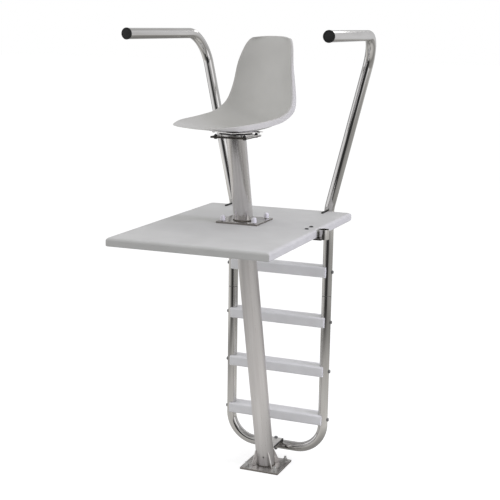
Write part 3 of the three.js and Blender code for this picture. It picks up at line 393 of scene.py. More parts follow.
# A weld bead along a path, rippled where each pool of metal set
def makeWeldTree():
    tree, given = newTree("weldBead", {"Radius": "Float", "Ripple": "Float", "Pitch": "Float"})
    path = addNode(tree, "GeometryNodeMeshToCurve", {"Mesh": given["Geometry"]})
    fine = addNode(tree, "GeometryNodeResampleCurve", {"Curve": path, "Length": 1.1 * mm}, mode="LENGTH")
    length = addNode(tree, "GeometryNodeSplineParameter").outputs["Length"]
    turns = calculate(tree, "DIVIDE", length, given["Pitch"])
    wave = calculate(tree, "SINE", calculate(tree, "MULTIPLY", turns, 2 * pi))
    scale = calculate(tree, "MULTIPLY_ADD", wave, given["Ripple"], 1.0)
    circle = addNode(tree, "GeometryNodeCurvePrimitiveCircle", {"Resolution": 10, "Radius": given["Radius"]})
    bead = addNode(tree, "GeometryNodeCurveToMesh",
                   {"Curve": fine, "Profile Curve": circle, "Scale": scale, "Fill Caps": True})
    return endTree(tree, bead, given["Material"])


# One fastener at each point, turned by the point's own attribute
def makeFastenerTree():
    tree, given = newTree("fastenerSet", {"Fastener": "Object"})
    source = addNode(tree, "GeometryNodeObjectInfo", {"Object": given["Fastener"]}).outputs["Geometry"]
    euler = addNode(tree, "FunctionNodeEulerToRotation", {"Euler": storedValue(tree, "turn", "FLOAT_VECTOR")})
    placed = addNode(tree, "GeometryNodeInstanceOnPoints",
                     {"Points": given["Geometry"], "Instance": source, "Rotation": euler})
    return endTree(tree, placed, given["Material"])


# Copies of one piece at an even rise, as treads go up a ladder
def makeRiseTree():
    tree, given = newTree("evenRise", {"Count": "Int", "Rise": "Float"})
    step = addNode(tree, "ShaderNodeCombineXYZ", {"Z": given["Rise"]})
    line = addNode(tree, "GeometryNodeMeshLine", {"Count": given["Count"], "Offset": step}, mode="OFFSET")
    placed = addNode(tree, "GeometryNodeInstanceOnPoints", {"Points": line, "Instance": given["Geometry"]})
    return endTree(tree, placed, given["Material"])


# Balls spaced round a circle, as they run in a bearing
def makeBallTree():
    tree, given = newTree("ballRing", {"Count": "Int", "Pitch Radius": "Float", "Ball Radius": "Float"})
    pitch = {"Resolution": given["Count"], "Radius": given["Pitch Radius"]}
    circle = addNode(tree, "GeometryNodeCurvePrimitiveCircle", pitch)
    size = {"Segments": 14, "Rings": 8, "Radius": given["Ball Radius"]}
    ball = addNode(tree, "GeometryNodeMeshUVSphere", size)
    placed = addNode(tree, "GeometryNodeInstanceOnPoints", {"Points": circle, "Instance": ball})
    both = addNode(tree, "GeometryNodeJoinGeometry",
                   {"Geometry": addNode(tree, "GeometryNodeRealizeInstances", {"Geometry": placed})})
    feed(tree, both, {"Geometry": given["Geometry"]})
    return endTree(tree, both, given["Material"])


tubeTree = makeTubeTree()
weldTree = makeWeldTree()
fastenerTree = makeFastenerTree()
riseTree = makeRiseTree()
ballTree = makeBallTree()


# An edges-only mesh that a tree reads as its path
def pathPiece(name, points, cyclic=False):
    mesh = bpy.data.meshes.new(name)
    edges = [(i, i + 1) for i in range(len(points) - 1)]
    if cyclic:
        edges.append((len(points) - 1, 0))
    mesh.from_pydata([tuple(p) for p in points], edges, [])
    return linked(name, mesh)


# The leaning post: two round tubes in one line, one under the deck and one over it
post = {
    **lengths(radius=44.45, wall=3.4, lowerFoot=9.5, lowerHead=1263.8, upperFoot=1319.3, upperHead=1704,
              drainHeight=66, drainRadius=4.5, drainReach=60, weld=4, weldProud=0.6, pitch=3.4),
    "sides": 144, "drainTurn": radians(12), "weldSides": 96, "ripple": 0.13,
}


def postAxisY(height):
    return -tan(leanAngle) * height


# A level cut through the post: an ellipse, longer front to back
def postRing(height, radius, count):
    flat = turnedRings([(radius, height)], count)[0]
    return [(x, postAxisY(height) + y / cos(leanAngle), z) for x, y, z in flat]


def postTube(name, bottom, top, material):
    outer, inner = post["radius"], post["radius"] - post["wall"]
    rings = [postRing(height, radius, post["sides"])
             for height, radius in ((bottom, outer), (top, outer), (top, inner), (bottom, inner))]
    return ringSolid(name, rings, material, closed=True)


def weldBead(name, points, radius, material=weldMetal, cyclic=False):
    values = {"Radius": radius, "Ripple": post["ripple"], "Pitch": post["pitch"], "Material": material}
    finish(runTree(pathPiece(name, points, cyclic), weldTree, values))


def makePosts():
    lower = postTube("lower_post_tube", post["lowerFoot"], post["lowerHead"], satinPost)
    rows = [(post["drainRadius"], 0), (post["drainRadius"], post["drainReach"])]
    drill = ringSolid("drill", turnedRings(rows, 32), satinPost)
    turned = Matrix.Rotation(post["drainTurn"], 4, "Z") @ Matrix.Rotation(quarterTurn, 4, "X")
    height = post["drainHeight"]
    drill.data.transform(Matrix.Translation((0, postAxisY(height), height)) @ turned)
    cutAway(lower, drill)
    smooth(lower)
    finish(lower, ["lower_post"])
    upper = postTube("upper_post_tube", post["upperFoot"], post["upperHead"], polishedPost)
    finish(upper, ["upper_post"])
    beads = {"post_foot_weld": "lowerFoot", "lower_flange_weld": "lowerHead",
             "upper_flange_weld": "upperFoot", "head_weld": "upperHead"}
    for name, level in beads.items():
        ring = postRing(post[level], post["radius"] + post["weldProud"], post["weldSides"])
        # All welds but the head's take the darker weld colour, a painted shade for the corners round them
        tone = weldMetal if name == "head_weld" else tintedWeld
        weldBead(name, ring, post["weld"], tone, cyclic=True)


# The CAD plate with its sharp edges broken. Its upright edges up to a height, and on one side only where a
# side
# is named, take a second colour: painted shade by default, a painted highlight where a bright one is given
def softPlate(name, node, width, material, body="frame", cutUnder=0, cutFacing=None, edge=cutEdge):
    piece = linked(name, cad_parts[node].data.copy())
    flat = radians(1)
    weldPoints(piece, 0.01 * mm, lambda work: bmesh.ops.dissolve_limit(
        work, angle_limit=flat, verts=work.verts, edges=work.edges))
    piece.data.materials.clear()
    piece.data.materials.append(material)
    piece.data.materials.append(edge)
    for polygon in piece.data.polygons:
        upright = abs(polygon.normal.z) < 0.6
        facing = cutFacing is None or polygon.normal.dot(Vector(cutFacing)) > 0.5
        polygon.material_index = int(upright and facing and polygon.center.z < cutUnder)
    softenEdges(piece, width * mm)
    finish(piece, [node], body)


overAll = 3    # a height in metres over all plates, under which every upright edge of a plate gets its painted edge colour
gusset = {
    **lengths(height=84, reach=77, thickness=6.4, weld=2.6, weldSeat=0.4, footStart=2, footEnd=3, riseStart=3,
              riseEnd=2),
    "turns": {"back_left": 45, "back_right": 135, "front_right": 225, "front_left": 315},
}


# The point on a gusset's side, by its distance out from the post's axis and its height over the plate
def gussetPoint(angle, reach, side, height):
    level = post["lowerFoot"] + height
    x, y = reach * cos(angle) - side * sin(angle), reach * sin(angle) + side * cos(angle)
    return (x, y + postAxisY(level) - postAxisY(post["lowerFoot"]), level)


def makeBase():
    softPlate("anchor_base_plate", "anchor_plate", 0.8, satinPlate, cutUnder=overAll, edge=sawnEdge)
    softPlate("deck_flange_under", "lower_deck_flange", 0.8, satinPlate, cutUnder=overAll)
    softPlate("deck_flange_top", "upper_deck_flange", 0.8, flangePlate, cutUnder=overAll,
              edge=sawnEdge)
    softPlate("head_plate", "post_head_plate", 0.5, polishedPlate, cutUnder=overAll)
    half, out = gusset["thickness"] / 2, post["radius"]
    ends = {"foot": ((out + gusset["footStart"], 0), (gusset["reach"] - gusset["footEnd"], 0)),
            "rise": ((out + gusset["weldSeat"], gusset["riseStart"]),
                     (out + gusset["weldSeat"], gusset["height"] - gusset["riseEnd"]))}
    for corner, turn in gusset["turns"].items():
        angle = radians(turn)
        # Each gusset's outward-facing edge takes the pale plate colour, a painted highlight
        softPlate("gusset_plate_" + corner, "gusset_" + corner, 0.7, satinPlate, cutUnder=overAll,
                  cutFacing=(*around(angle, 1), 0), edge=brightPlate)
        for side, label in ((half, "a"), (-half, "b")):
            for kind, line in ends.items():
                points = [gussetPoint(angle, reach, side, height) for reach, height in line]
                name = "gusset_%s_weld_%s_%s" % (kind, corner, label)
                weldBead(name, points, gusset["weld"], tintedWeld)


makePosts()
makeBase()
print("posts, plates and welds made")


deck = {
    **lengths(top=1311.4, bottom=1273.3, width=739.4, front=972, back=120, corner=4, edgeRound=14,
              footRound=5, slotWidth=7.55, slotFront=29.4, railClear=25.35, soft=0.7),
    "cornerSteps": 10, "edgeSteps": 12, "footSteps": 4,
}
rail = {
    **lengths(radius=24.15, wall=2.8, plane=139.6, spacing=250.8, footHeight=71, footBend=140, joint=885,
              jointGap=2.4, jointRound=0.7, kink=1322, kinkBend=120, top=2144.3, topBend=150, spread=191,
              rake=30.8, reach=760, flare=21),
    "sides": 64,
}
sides = {"left": 1, "right": -1}
past = 5 * mm    # how far a cutting tool reaches past what it cuts


# A rectangle's corners, each rounded in even steps, in turn from the one with the highest x and y
def roundedCorners(centres, radius, steps):
    points = []
    for quarter, centre in enumerate(centres):
        points += [around(quarterTurn * (quarter + i / steps), radius, *centre) for i in range(steps + 1)]
    return points


# The deck's outline at a height, drawn in by an inset that rounds its corners as it grows
def deckRing(height, inset):
    radius = deck["corner"] + inset
    half = deck["width"] / 2 - inset - radius
    front, back = -deck["front"] + inset + radius, deck["back"] - inset - radius
    centres = ((half, back), (-half, back), (-half, front), (half, front))
    return [(x, y, height) for x, y in roundedCorners(centres, radius, deck["cornerSteps"])]


# A rectangle's corners at a height, in order round it
def levelBox(left, right, front, back, level):
    return [(left, front, level), (right, front, level), (right, back, level), (left, back, level)]


def cutRound(board, radius, low, high, sign, count):
    rings = turnedRings([(radius, low), (radius, high)], count, (sign * rail["spacing"], rail["plane"]))
    cutAway(board, ringSolid("notch", rings, capRubber))


def makeDeck():
    top, bottom, edge, foot = deck["top"], deck["bottom"], deck["edgeRound"], deck["footRound"]
    low, high = quarterRound(deck["footSteps"]), quarterRound(deck["edgeSteps"])
    rings = [deckRing(bottom + foot * fall, foot * (1 - rise)) for rise, fall in low]
    rings += [deckRing(top - edge * (1 - rise), edge * fall) for rise, fall in high]
    board = ringSolid("deck_board", rings, deckPlastic)
    for sign in sides.values():
        cutRound(board, deck["railClear"], bottom - past, top + past, sign, 48)
        x, half = sign * rail["spacing"], deck["slotWidth"] / 2
        slot = [levelBox(x - half, x + half, deck["slotFront"], deck["back"] + past, z)
                for z in (bottom - past, top + past)]
        cutAway(board, ringSolid("slot", slot, deckPlastic))
    softenEdges(board, deck["soft"], angle=50, segments=2)
    finish(board, ["deck"])


makeDeck()
print("deck made")


# The points of a run of straights with a round bend at each corner between
def bentPath(corners, radii, step=radians(3)):
    corners = [Vector(c) for c in corners]
    points = [corners[0]]
    for before, corner, after, radius in zip(corners, corners[1:], corners[2:], radii):
        into, out = (corner - before).normalized(), (after - corner).normalized()
        turn = into.angle(out)
        axis = into.cross(out).normalized()
        inward = axis.cross(into)
        centre = corner - into * radius * tan(turn / 2) + inward * radius
        count = max(2, ceil(turn / step))
        for k in range(count + 1):
            points.append(centre + Matrix.Rotation(turn * k / count, 3, axis) @ (inward * -radius))
    points.append(corners[-1])
    return points


def tubePiece(name, points, node):
    values = {"Radius": rail["radius"], "Sides": rail["sides"], "Material": polishedTube}
    tube = runTree(pathPiece(name, points), tubeTree, values)
    outward(tube)
    wall = tube.modifiers.new("wall", "SOLIDIFY")
    wall.thickness = rail["wall"]
    wall.offset = -1
    applyModifiers(tube)
    softenEdges(tube, rail["jointRound"], angle=60, segments=2)
    smooth(tube, 40)
    finish(tube, [node])


def makeRails():
    x, y, gap = rail["spacing"], rail["plane"], rail["jointGap"] / 2
    low, foot = rail["joint"] - gap, rail["footHeight"]
    path = bentPath([(-x, y, low), (-x, y, foot), (x, y, foot), (x, y, low)], [rail["footBend"]] * 2)
    tubePiece("ladder_tube_bent", path, "ladder_tube")
    for side, sign in sides.items():
        top = (sign * (x + rail["spread"]), y + rail["rake"], rail["top"])
        tip = (sign * (x + rail["spread"] + rail["flare"]), y + rail["rake"] - rail["reach"], rail["top"])
        path = bentPath([(sign * x, y, rail["joint"] + gap), (sign * x, y, rail["kink"]), top, tip],
                        [rail["kinkBend"], rail["topBend"]])
        tubePiece("handrail_tube_" + side, path, "handrail_" + side)
        makeEndCap(side, Vector(top), Vector(tip))
    # The splice tubes are dark, which paints the shade in the gap at each joint
    for side in sides:
        softPlate("splice_tube_" + side, "splice_sleeve_" + side, 0.3, bearingSteel)


# The face rows are mm out from the ring and up from the cap's face, the middle ones shares of the ring's
# radius and drops under the face
cap = {
    **lengths(radius=25.8, thickness=5, edge=1.6, seat=0.3, foot=0.8, soft=0.4, plug=20.5, plugLength=22,
              plugEdge=1, crown=1, ring=19),
    "edgeSteps": 6, "faceRows": ((1.4, -0.9), (1, -1.6), (0, -1.6), (-0.5, -0.6)),
    "middleRows": ((0.6, 0.2 * mm), (0.3, 0)),
}


# A rubber plug with a flat, slightly crowned face and a fine moulded ring near its edge
def makeEndCap(side, before, tip):
    plug, radius, edge, top, ring = (cap[key] for key in ("plug", "radius", "edge", "thickness", "ring"))
    profile = [(plug - cap["plugEdge"], -cap["plugLength"]), (plug, cap["plugEdge"] - cap["plugLength"]),
               (plug, cap["seat"]), (radius - cap["soft"], cap["seat"]), (radius, cap["foot"])]
    profile += [(radius - edge * fall, top - cap["crown"] - edge * (1 - rise))
                for rise, fall in quarterRound(cap["edgeSteps"])]
    profile += [(ring + out * mm, top + up * mm) for out, up in cap["faceRows"]]
    profile += [(ring * share, top - drop) for share, drop in cap["middleRows"]] + [(5 * sliver, top)]
    piece = ringSolid("end_cap_plug_" + side, turnedRings(profile, 72), capRubber)
    heading = (tip - before).normalized().to_track_quat("Z", "Y").to_matrix().to_4x4()
    piece.data.transform(Matrix.Translation(tip) @ heading)
    smooth(piece, 45)
    finish(piece, ["end_cap_" + side])


makeRails()
print("ladder tube and handrails made")


tread = {
    **lengths(rise=255, lowestTop=266, depth=88.9, thickness=50.8, edgeRound=8, edgeSoft=1, setback=6.5,
              half=250.8, clear=24.6, groovePitch=9, grooveWidth=2.4, grooveDepth=0.7),
    "count": 4, "edgeSteps": 8, "grooves": 7,
}
lowestTread = tread["lowestTop"] - tread["thickness"] / 2


# The tread's section, front to back over its grooved top and round its edges
def treadSection():
    edge, top, width = tread["edgeRound"], tread["thickness"] / 2, tread["grooveWidth"]
    y, z = tread["depth"] / 2 - edge, top - edge
    points = roundedCorners(((y, z), (-y, z), (-y, -z), (y, -z)), edge, tread["edgeSteps"])
    grooved = []
    for k in range(tread["grooves"]):
        middle = ((tread["grooves"] - 1) / 2 - k) * tread["groovePitch"]
        for share, drop in ((1 / 2, 0), (1 / 4, 1), (-1 / 4, 1), (-1 / 2, 0)):
            grooved.append((middle + width * share, top - drop * tread["grooveDepth"]))
    start = tread["edgeSteps"] + 1
    return points[:start] + grooved + points[start:]


def makeTreads():
    section = treadSection()
    rings = [[(x, rail["plane"] + tread["setback"] + y, lowestTread + z) for y, z in section]
             for x in (-tread["half"], tread["half"])]
    board = ringSolid("ladder_treads", rings, treadPlastic)
    outward(board)
    low, high = lowestTread - tread["thickness"], lowestTread + tread["thickness"]
    for sign in sides.values():
        cutRound(board, tread["clear"], low, high, sign, 64)
    softenEdges(board, tread["edgeSoft"], angle=60, segments=3)
    runTree(board, riseTree, {"Count": tread["count"], "Rise": tread["rise"], "Material": treadPlastic})
    smooth(board, 40)
    finish(board, ["tread_%d" % (i + 1) for i in range(tread["count"])])


makeTreads()
print("treads made")


# The rows of the painted slot shadow are its inset and height over the deck, of the painted tie shadow its
# inset and place out
bracket = {
    **lengths(front=30, thickness=6.35, trim=0.9, trimBack=0.5, weld=2.6, weldUnder=6, footWidth=76,
              footLevel=95.45, footWeld=2.99, edgingFront=12, edgingBack=145, edgingLip=2.4),
    "trimRows": ((0, -0.6), (0, 6.1), (0.4, 6.5), (1.2, 6.7)),
    "edgingRows": ((0, -1.2), (0, 0.5), (0.4, 0.9)), "footWeldSteps": 40,
}
sleeve = {
    **lengths(x=394.15, y=-372, bottom=1266.95, top=1311.4, bore=21.35, edge=0.8, soft=0.24),
    "weldFrom": 95, "weldSpan": 170, "weldSteps": 48,
}
weldSeat = 0.4 * mm    # how far a bead's middle stands off the tube that it runs round
footTop = bracket["footLevel"] + bracket["thickness"]


def makeBrackets():
    bottom, top = deck["bottom"], deck["top"]
    y = rail["plane"] - rail["radius"]
    half = bracket["thickness"] / 2 + bracket["trim"]
    for side, sign in sides.items():
        x = sign * rail["spacing"]
        softPlate("rail_bracket_plate_" + side, "rail_bracket_" + side, 0.7, polishedPlate)
        for label, share in (("a", 0.5), ("b", -0.5)):
            weldX = x + share * bracket["thickness"]
            line = [(weldX, y, bottom - bracket["weldUnder"]), (weldX, y, top + past)]
            weldBead("rail_bracket_weld_%s_%s" % (side, label), line, bracket["weld"])
        # A black sheet round each bracket web, where it stands out of the deck, paints the shadow in the slot
        rings = []
        for inset, rise in bracket["trimRows"]:
            reach = half - inset * mm
            front, back = bracket["front"] - bracket["trim"], y - bracket["trimBack"]
            front, back, level = front + inset * mm, back - inset * mm, top + rise * mm
            rings.append(levelBox(x - reach, x + reach, front, back, level))
        finish(ringSolid("bracket_web_trim_" + side, rings, capRubber))
    # The foot tie is in the pale plate colour, which paints the highlight on its top
    softPlate("ladder_foot_tie", "ladder_foot_plate", 0.7, brightPlate)
    # A black sheet along the foot tie's side paints the shadow between the tie and the tube
    half = bracket["footWidth"] / 2
    rings = []
    for inset, out in bracket["edgingRows"]:
        low, high = bracket["footLevel"] + inset * mm, footTop + bracket["edgingLip"] - inset * mm
        front, back = bracket["edgingFront"] + inset * mm, bracket["edgingBack"] - inset * mm
        corners = ((front, low), (back, low), (back, high), (front, high))
        rings.append([(half + out * mm, y, z) for y, z in corners])
    finish(ringSolid("foot_tie_edging", rings, capRubber))
    arc = []
    for i in range(bracket["footWeldSteps"] + 1):
        x = half * (2 * i / bracket["footWeldSteps"] - 1)
        reach = sqrt(post["radius"] ** 2 - x ** 2) / cos(leanAngle)
        arc.append((x, postAxisY(footTop) + reach + weldSeat, footTop))
    weldBead("foot_tie_weld", arc, bracket["footWeld"])


def makeSleeve():
    radius, keys = rail["radius"], ("x", "y", "bottom", "top", "bore", "edge", "soft")
    x, y, bottom, top, bore, edge, soft = (sleeve[key] for key in keys)
    profile = [(radius, bottom + edge), (radius, top - edge), (radius - soft, top - soft),
               (radius - edge, top), (bore + edge, top), (bore + soft, top - soft), (bore, top - edge),
               (bore, bottom + edge), (bore + edge, bottom), (radius - edge, bottom)]
    tube = ringSolid("pole_sleeve_tube", turnedRings(profile, 96, (x, y)), polishedNut, closed=True)
    finish(tube, ["pole_sleeve"])
    softPlate("pole_sleeve_plate", "sleeve_plate", 0.7, polishedPlate, cutUnder=overAll)
    ring = []
    for i in range(sleeve["weldSteps"] + 1):
        angle = radians(sleeve["weldFrom"] + sleeve["weldSpan"] * i / sleeve["weldSteps"])
        ring.append((*around(angle, radius + weldSeat, x, y), bottom))
    weldBead("pole_sleeve_weld", ring, bracket["weld"])


makeBrackets()
makeSleeve()
print("brackets, foot plate and pole sleeve made")


# A hexagon's rows reach a little past its corners, and a chamfered end slopes in to a round face
hexagon = {"past": 1.01, "face": 0.47, "slope": 0.45}


# The rows of a hexagon that is chamfered below, above or at both ends
def hexRows(across, low, high, lowCut=True, highCut=True):
    corner, face = across / sqrt(3) * hexagon["past"], across * hexagon["face"]
    drop = (across / sqrt(3) - face) * hexagon["slope"]
    rows = [(face, low, across)] * lowCut
    rows += [(corner, low + drop * lowCut, across), (corner, high - drop * highCut, across)]
    return rows + [(face, high, across)] * highCut


def washerRows(radius, low, high):
    edge = 0.3 * mm
    return [(radius - edge, low), (radius, low + edge), (radius, high - edge), (radius - edge, high)]


def domeRows(radius, low, high):
    steps = quarterRound(8)
    return [(max(radius * (1 - fall), 2 * sliver), low + (high - low) * rise) for rise, fall in steps]


# A thread drawn as rings that swell and shrink once a turn of pitch
def threadRows(radius, low, high):
    pitch, depth, tip = 1.8 * mm, 0.45 * mm, 0.6 * mm
    count = round((high - low) / (pitch / 4))
    rows = [(radius - depth * (0.5 - 0.5 * cos(quarterTurn * i)), low + (high - low) * i / count)
            for i in range(count + 1)]
    return rows + [(radius - 2 * tip, high + tip)]


turnedKinds = {
    "row": lambda radius, low, high: [(radius, low)],
    "shank": lambda radius, low, high: [(radius, low), (radius, high)],
    "head": lambda across, low, high: hexRows(across, low, high, highCut=False),
    "nut": lambda across, low, high: hexRows(across, low, high, lowCut=False),
    "hex": hexRows, "washer": washerRows, "dome": domeRows, "thread": threadRows,
}


# One bolt at each place, turned as one shape. Its parts lie on one another from a level up, each a kind, a
# radius or a width across flats, and a height, in mm
def fastenerSet(name, level, parts, places, material, nodes=(), body="frame"):
    profile = []
    for kind, size, height in parts:
        profile += turnedKinds[kind](size * mm, level, level + height * mm)
        level += height * mm
    source = ringSolid(name + "_one", turnedRings(profile, 48), material)
    smooth(source, 30)
    mesh = bpy.data.meshes.new(name)
    mesh.from_pydata([place for place, turn in places], [], [])
    turns = mesh.attributes.new("turn", "FLOAT_VECTOR", "POINT")
    for i, (place, turn) in enumerate(places):
        turns.data[i].vector = turn
    piece = linked(name, mesh)
    runTree(piece, fastenerTree, {"Fastener": source, "Material": material})
    smooth(piece, 30)
    bpy.data.objects.remove(source)
    finish(piece, nodes, body)


# The four corners of a bolt square, each with its own turn
def squarePlaces(spacing, y=0.0, turn=0.0):
    half, ownTurn = spacing * mm / 2, 0.4
    c, s = cos(turn), sin(turn)
    places = []
    for a, b in ((-half, -half), (half, -half), (half, half), (-half, half)):
        places.append(((c * a - s * b, y + s * a + c * b, 0), (0, 0, turn + ownTurn * len(places))))
    return places


def numbered(stem, count=4):
    return ["%s_%d" % (stem, i + 1) for i in range(count)]


boltSquare = 152.4
washer, upright = ("washer", 10, 1.5), (0, 0, 0)
bracketBolt = lengths(x=230.625, y=72.725)
sleeveBolt = lengths(x=324.7, half=30)


def makeFasteners():
    parts = [("shank", 6.35, 8.5), ("washer", 14, 2.5), ("hex", 19, 11), ("row", 6.35, 0.1),
             ("thread", 6.35, 10.8)]
    nodes = ["anchor_front_right", "anchor_front_left", "anchor_back_left", "anchor_back_right"]
    fastenerSet("anchor_bolts", 1 * mm, parts, squarePlaces(boltSquare), anchorSteel, nodes)

    under, over = post["lowerHead"], post["upperFoot"]
    parts = [("row", 4.8, 0.9), ("shank", 6, 1.6), ("head", 19, 9), ("washer", 13, 2),
             ("shank", 6.35, (over - under) / mm), ("washer", 13, 2), ("nut", 19, 11)]
    places = squarePlaces(boltSquare, postAxisY(deck["bottom"]))
    nodes = numbered("deck_bolt")
    fastenerSet("deck_bolts_and_nuts", under - 13.5 * mm, parts, places, polishedNut, nodes)
    # The domed caps over the nuts are pale, a painted highlight
    parts = [("row", 11.6, 0.5), ("row", 12, 15.4), ("dome", 11.4, 9)]
    fastenerSet("deck_nut_caps", over + 2.1 * mm, parts, places, capNylon)

    inside = 20
    parts = [("shank", 4.75, inside + rail["radius"] / mm - 0.4), ("washer", 9.6, 1.6), ("nut", 15, 5.1)]
    levels = [lowestTread + i * tread["rise"] for i in range(tread["count"])]
    places = [((sign * rail["spacing"], rail["plane"], level), (0, sign * quarterTurn, 0))
              for level in levels for sign in sides.values()]
    nodes = ["tread_bolt_%d_%s" % (i + 1, side) for i in range(tread["count"]) for side in sides]
    fastenerSet("tread_bolts", -inside * mm, parts, places, zincSteel, nodes)

    under = deck["bottom"] - bracket["thickness"]
    parts = [("head", 16, 4.5), washer, ("shank", 4.75, 30)]
    places = [((sign * bracketBolt["x"], bracketBolt["y"], 0), (0, 0, 0.2)) for sign in sides.values()]
    nodes = ["rail_bracket_bolt_" + side for side in sides]
    fastenerSet("rail_bracket_bolts", under - 6 * mm, parts, places, zincSteel, nodes)

    tubeFoot = rail["footHeight"] - rail["radius"]
    parts = [("row", 4.2, 0.6), ("shank", 4.75, 1.6), ("hex", 16, 8),
             ("shank", 4.75, (footTop - tubeFoot) / mm + 0.3), washer, ("nut", 16, 5.5)]
    places, nodes = [((0, rail["plane"], 0), (0, 0, 0.5))], ["ladder_foot_bolt"]
    fastenerSet("ladder_foot_screw", tubeFoot - 10.5 * mm, parts, places, zincSteel, nodes)

    parts = [("head", 17, 4.5), washer, ("shank", 4.75, (deck["top"] - sleeve["bottom"]) / mm),
             ("row", 9.3, 0.8), ("row", 9.8, 0.2), ("dome", 9.6, 4)]
    places = [((sleeveBolt["x"], sleeve["y"] + sign * sleeveBolt["half"], 0), upright) for sign in (-1, 1)]
    nodes = numbered("sleeve_bolt", 2)
    fastenerSet("sleeve_plate_bolts", sleeve["bottom"] - 6 * mm, parts, places, bearingSteel, nodes)


makeFasteners()
print("fasteners made")


swivel = {
    **lengths(headUnder=1704, headTop=1709, plate=3, raceTop=1719, upperRace=1725.6, upperPlate=1728.1,
              upperTop=1731.1, pitchRadius=68, ballRadius=2.9, ringInner=64, ringOuter=70.2, ringClear=0.3,
              ringLip=3.6),
    "yaw": radians(-30), "ballCount": 56, "lowerSquare": 136, "upperSquare": 140,
}
swivelY = postAxisY(swivel["headTop"])


def makeSwivel():
    over = swivel["headTop"] + swivel["plate"]
    # The lower plate's front edges take the painted edge shade, and both plates the pale colour that paints
    # their sheen
    softPlate("swivel_plate_lower", "swivel_lower_plate", 0.4, brightPlate, cutUnder=over,
              cutFacing=(0, -1, 0))
    softPlate("swivel_plate_upper", "swivel_upper_plate", 0.4, brightPlate, body="seat")
    low, high = swivel["raceTop"] + swivel["ringClear"], swivel["upperRace"] - swivel["ringClear"]
    inner, outer, lip = swivel["ringInner"], swivel["ringOuter"], high - swivel["ringLip"]
    rings = turnedRings([(outer, low), (outer, lip), (inner, lip), (inner, low)], 96)
    ring = ringSolid("swivel_balls", rings, bearingSteel, closed=True)
    middle = (low + high) / 2
    ring.data.transform(Matrix.Translation((0, 0, -middle)))
    outward(ring)
    runTree(ring, ballTree, {"Count": swivel["ballCount"], "Pitch Radius": swivel["pitchRadius"],
                             "Ball Radius": swivel["ballRadius"], "Material": bearingSteel})
    ring.data.transform(Matrix.Translation((0, swivelY, middle)))
    finish(ring, ["swivel_ball_ring"])

    under = swivel["headUnder"]
    parts = [("head", 13, 5), ("shank", 3.95, (over - under) / mm), ("washer", 8, 1), ("nut", 12.5, 4),
             ("dome", 5.4, 4)]
    places = squarePlaces(swivel["lowerSquare"], swivelY)
    nodes = numbered("swivel_bolt")
    fastenerSet("swivel_plate_bolts", under - 5 * mm, parts, places, bearingSteel, nodes)
    under = swivel["upperPlate"]
    parts = [("head", 13, 4), ("washer", 8, 1), ("shank", 3.95, 6)]
    places = squarePlaces(swivel["upperSquare"], swivelY, swivel["yaw"])
    nodes = numbered("seat_bolt")
    fastenerSet("seat_plate_bolts", under - 5 * mm, parts, places, bearingSteel, nodes, "seat")


makeSwivel()
print("swivel made")


seat = {
    **lengths(reach=248, width=464, height=399, backReach=203, wall=3.5, pan=1737.1, lipRound=8, skirt=25,
              flare=1.5, footEdge=0.8, plinthFoot=84, plinthTop=131, plinthRise=16, plinthEdge=1,
              plinthSoft=0.6, plinthClear=0.3),
    "panHeightShare": 0.1, "lipSteps": 6, "lipPasses": 10, "columns": 56, "rowsPerStation": 9,
    "bowlPower": 2.6,
}
# rim: out, half width and height; middle: out and height; how much of the skirt is there
stationShares = [
    (0.99, 0.43, 0.052, 1, 0.048, 0.12), (0.92, 0.65, 0.062, 0.92, 0.041, 0.16),
    (0.6, 0.9, 0.09, 0.6, 0.018, 0.85), (0.2, 0.97, 0.12, 0.19, 0, 1),
    (-0.25, 1, 0.168, -0.3, 0, 1), (-0.52, 1, 0.248, -0.66, 0.05, 1),
    (-0.62, 0.945, 0.343, -0.835, 0.178, 0.95), (-0.68, 0.875, 0.495, -0.885, 0.396, 0.76),
    (-0.725, 0.795, 0.71, -0.93, 0.684, 0.54), (-0.82, 0.7, 0.885, -0.97, 0.89, 0.4),
    (-0.885, 0.6, 0.967, -0.995, 0.985, 0.34), (-0.91, 0.475, 0.987, -1, 1, 0.32),
]
seatWidth = seat["columns"] + 1
middleColumn = seat["columns"] // 2


# A point over the swivel's axis, by its share of the width, of the reach and of the height
def seatPoint(across, out, height):
    reach = seat["reach"] if out > 0 else seat["backReach"]
    return Vector((across * seat["width"] / 2, -out * reach, seat["pan"] + height * seat["height"]))


# A smooth curve through evenly spaced points
def throughPoints(points, t):
    spans = len(points) - 1
    k = min(int(t * spans), spans - 1)
    u = t * spans - k
    p1, p2 = points[k], points[k + 1]
    p0 = points[k - 1] if k > 0 else p1 * 2 - p2
    p3 = points[k + 2] if k + 2 <= spans else p2 * 2 - p1
    m1, m2 = (p2 - p0) * 0.5, (p3 - p1) * 0.5
    ends = p1 * (2 * u ** 3 - 3 * u ** 2 + 1) + p2 * (3 * u ** 2 - 2 * u ** 3)
    return ends + m1 * (u ** 3 - 2 * u ** 2 + u) + m2 * (u ** 3 - u ** 2)


# The pan's rows from front to back, each its rim point, its middle point and its share of the skirt
def seatRows():
    rims = [seatPoint(width, out, height) for out, width, height, _, _, _ in stationShares]
    mids = [seatPoint(0, out, height) for _, _, _, out, height, _ in stationShares]
    skirts = [row[-1] for row in stationShares]
    spans = len(rims) - 1
    count = spans * seat["rowsPerStation"]
    rows = []
    for row in range(count + 1):
        t = row / count
        k = min(int(t * spans), spans - 1)
        skirt = skirts[k] + (skirts[k + 1] - skirts[k]) * (t * spans - k)
        rows.append((throughPoints(rims, t), throughPoints(mids, t), skirt))
    return rows


def seatGrid(rows):
    grid = []
    for rim, mid, skirt in rows:
        line = []
        for column in range(seatWidth):
            across = 2 * column / seat["columns"] - 1
            point = mid.lerp(rim, abs(across) ** seat["bowlPower"])
            point.x = across * rim.x
            line.append(point)
        grid.append(line)
    return grid


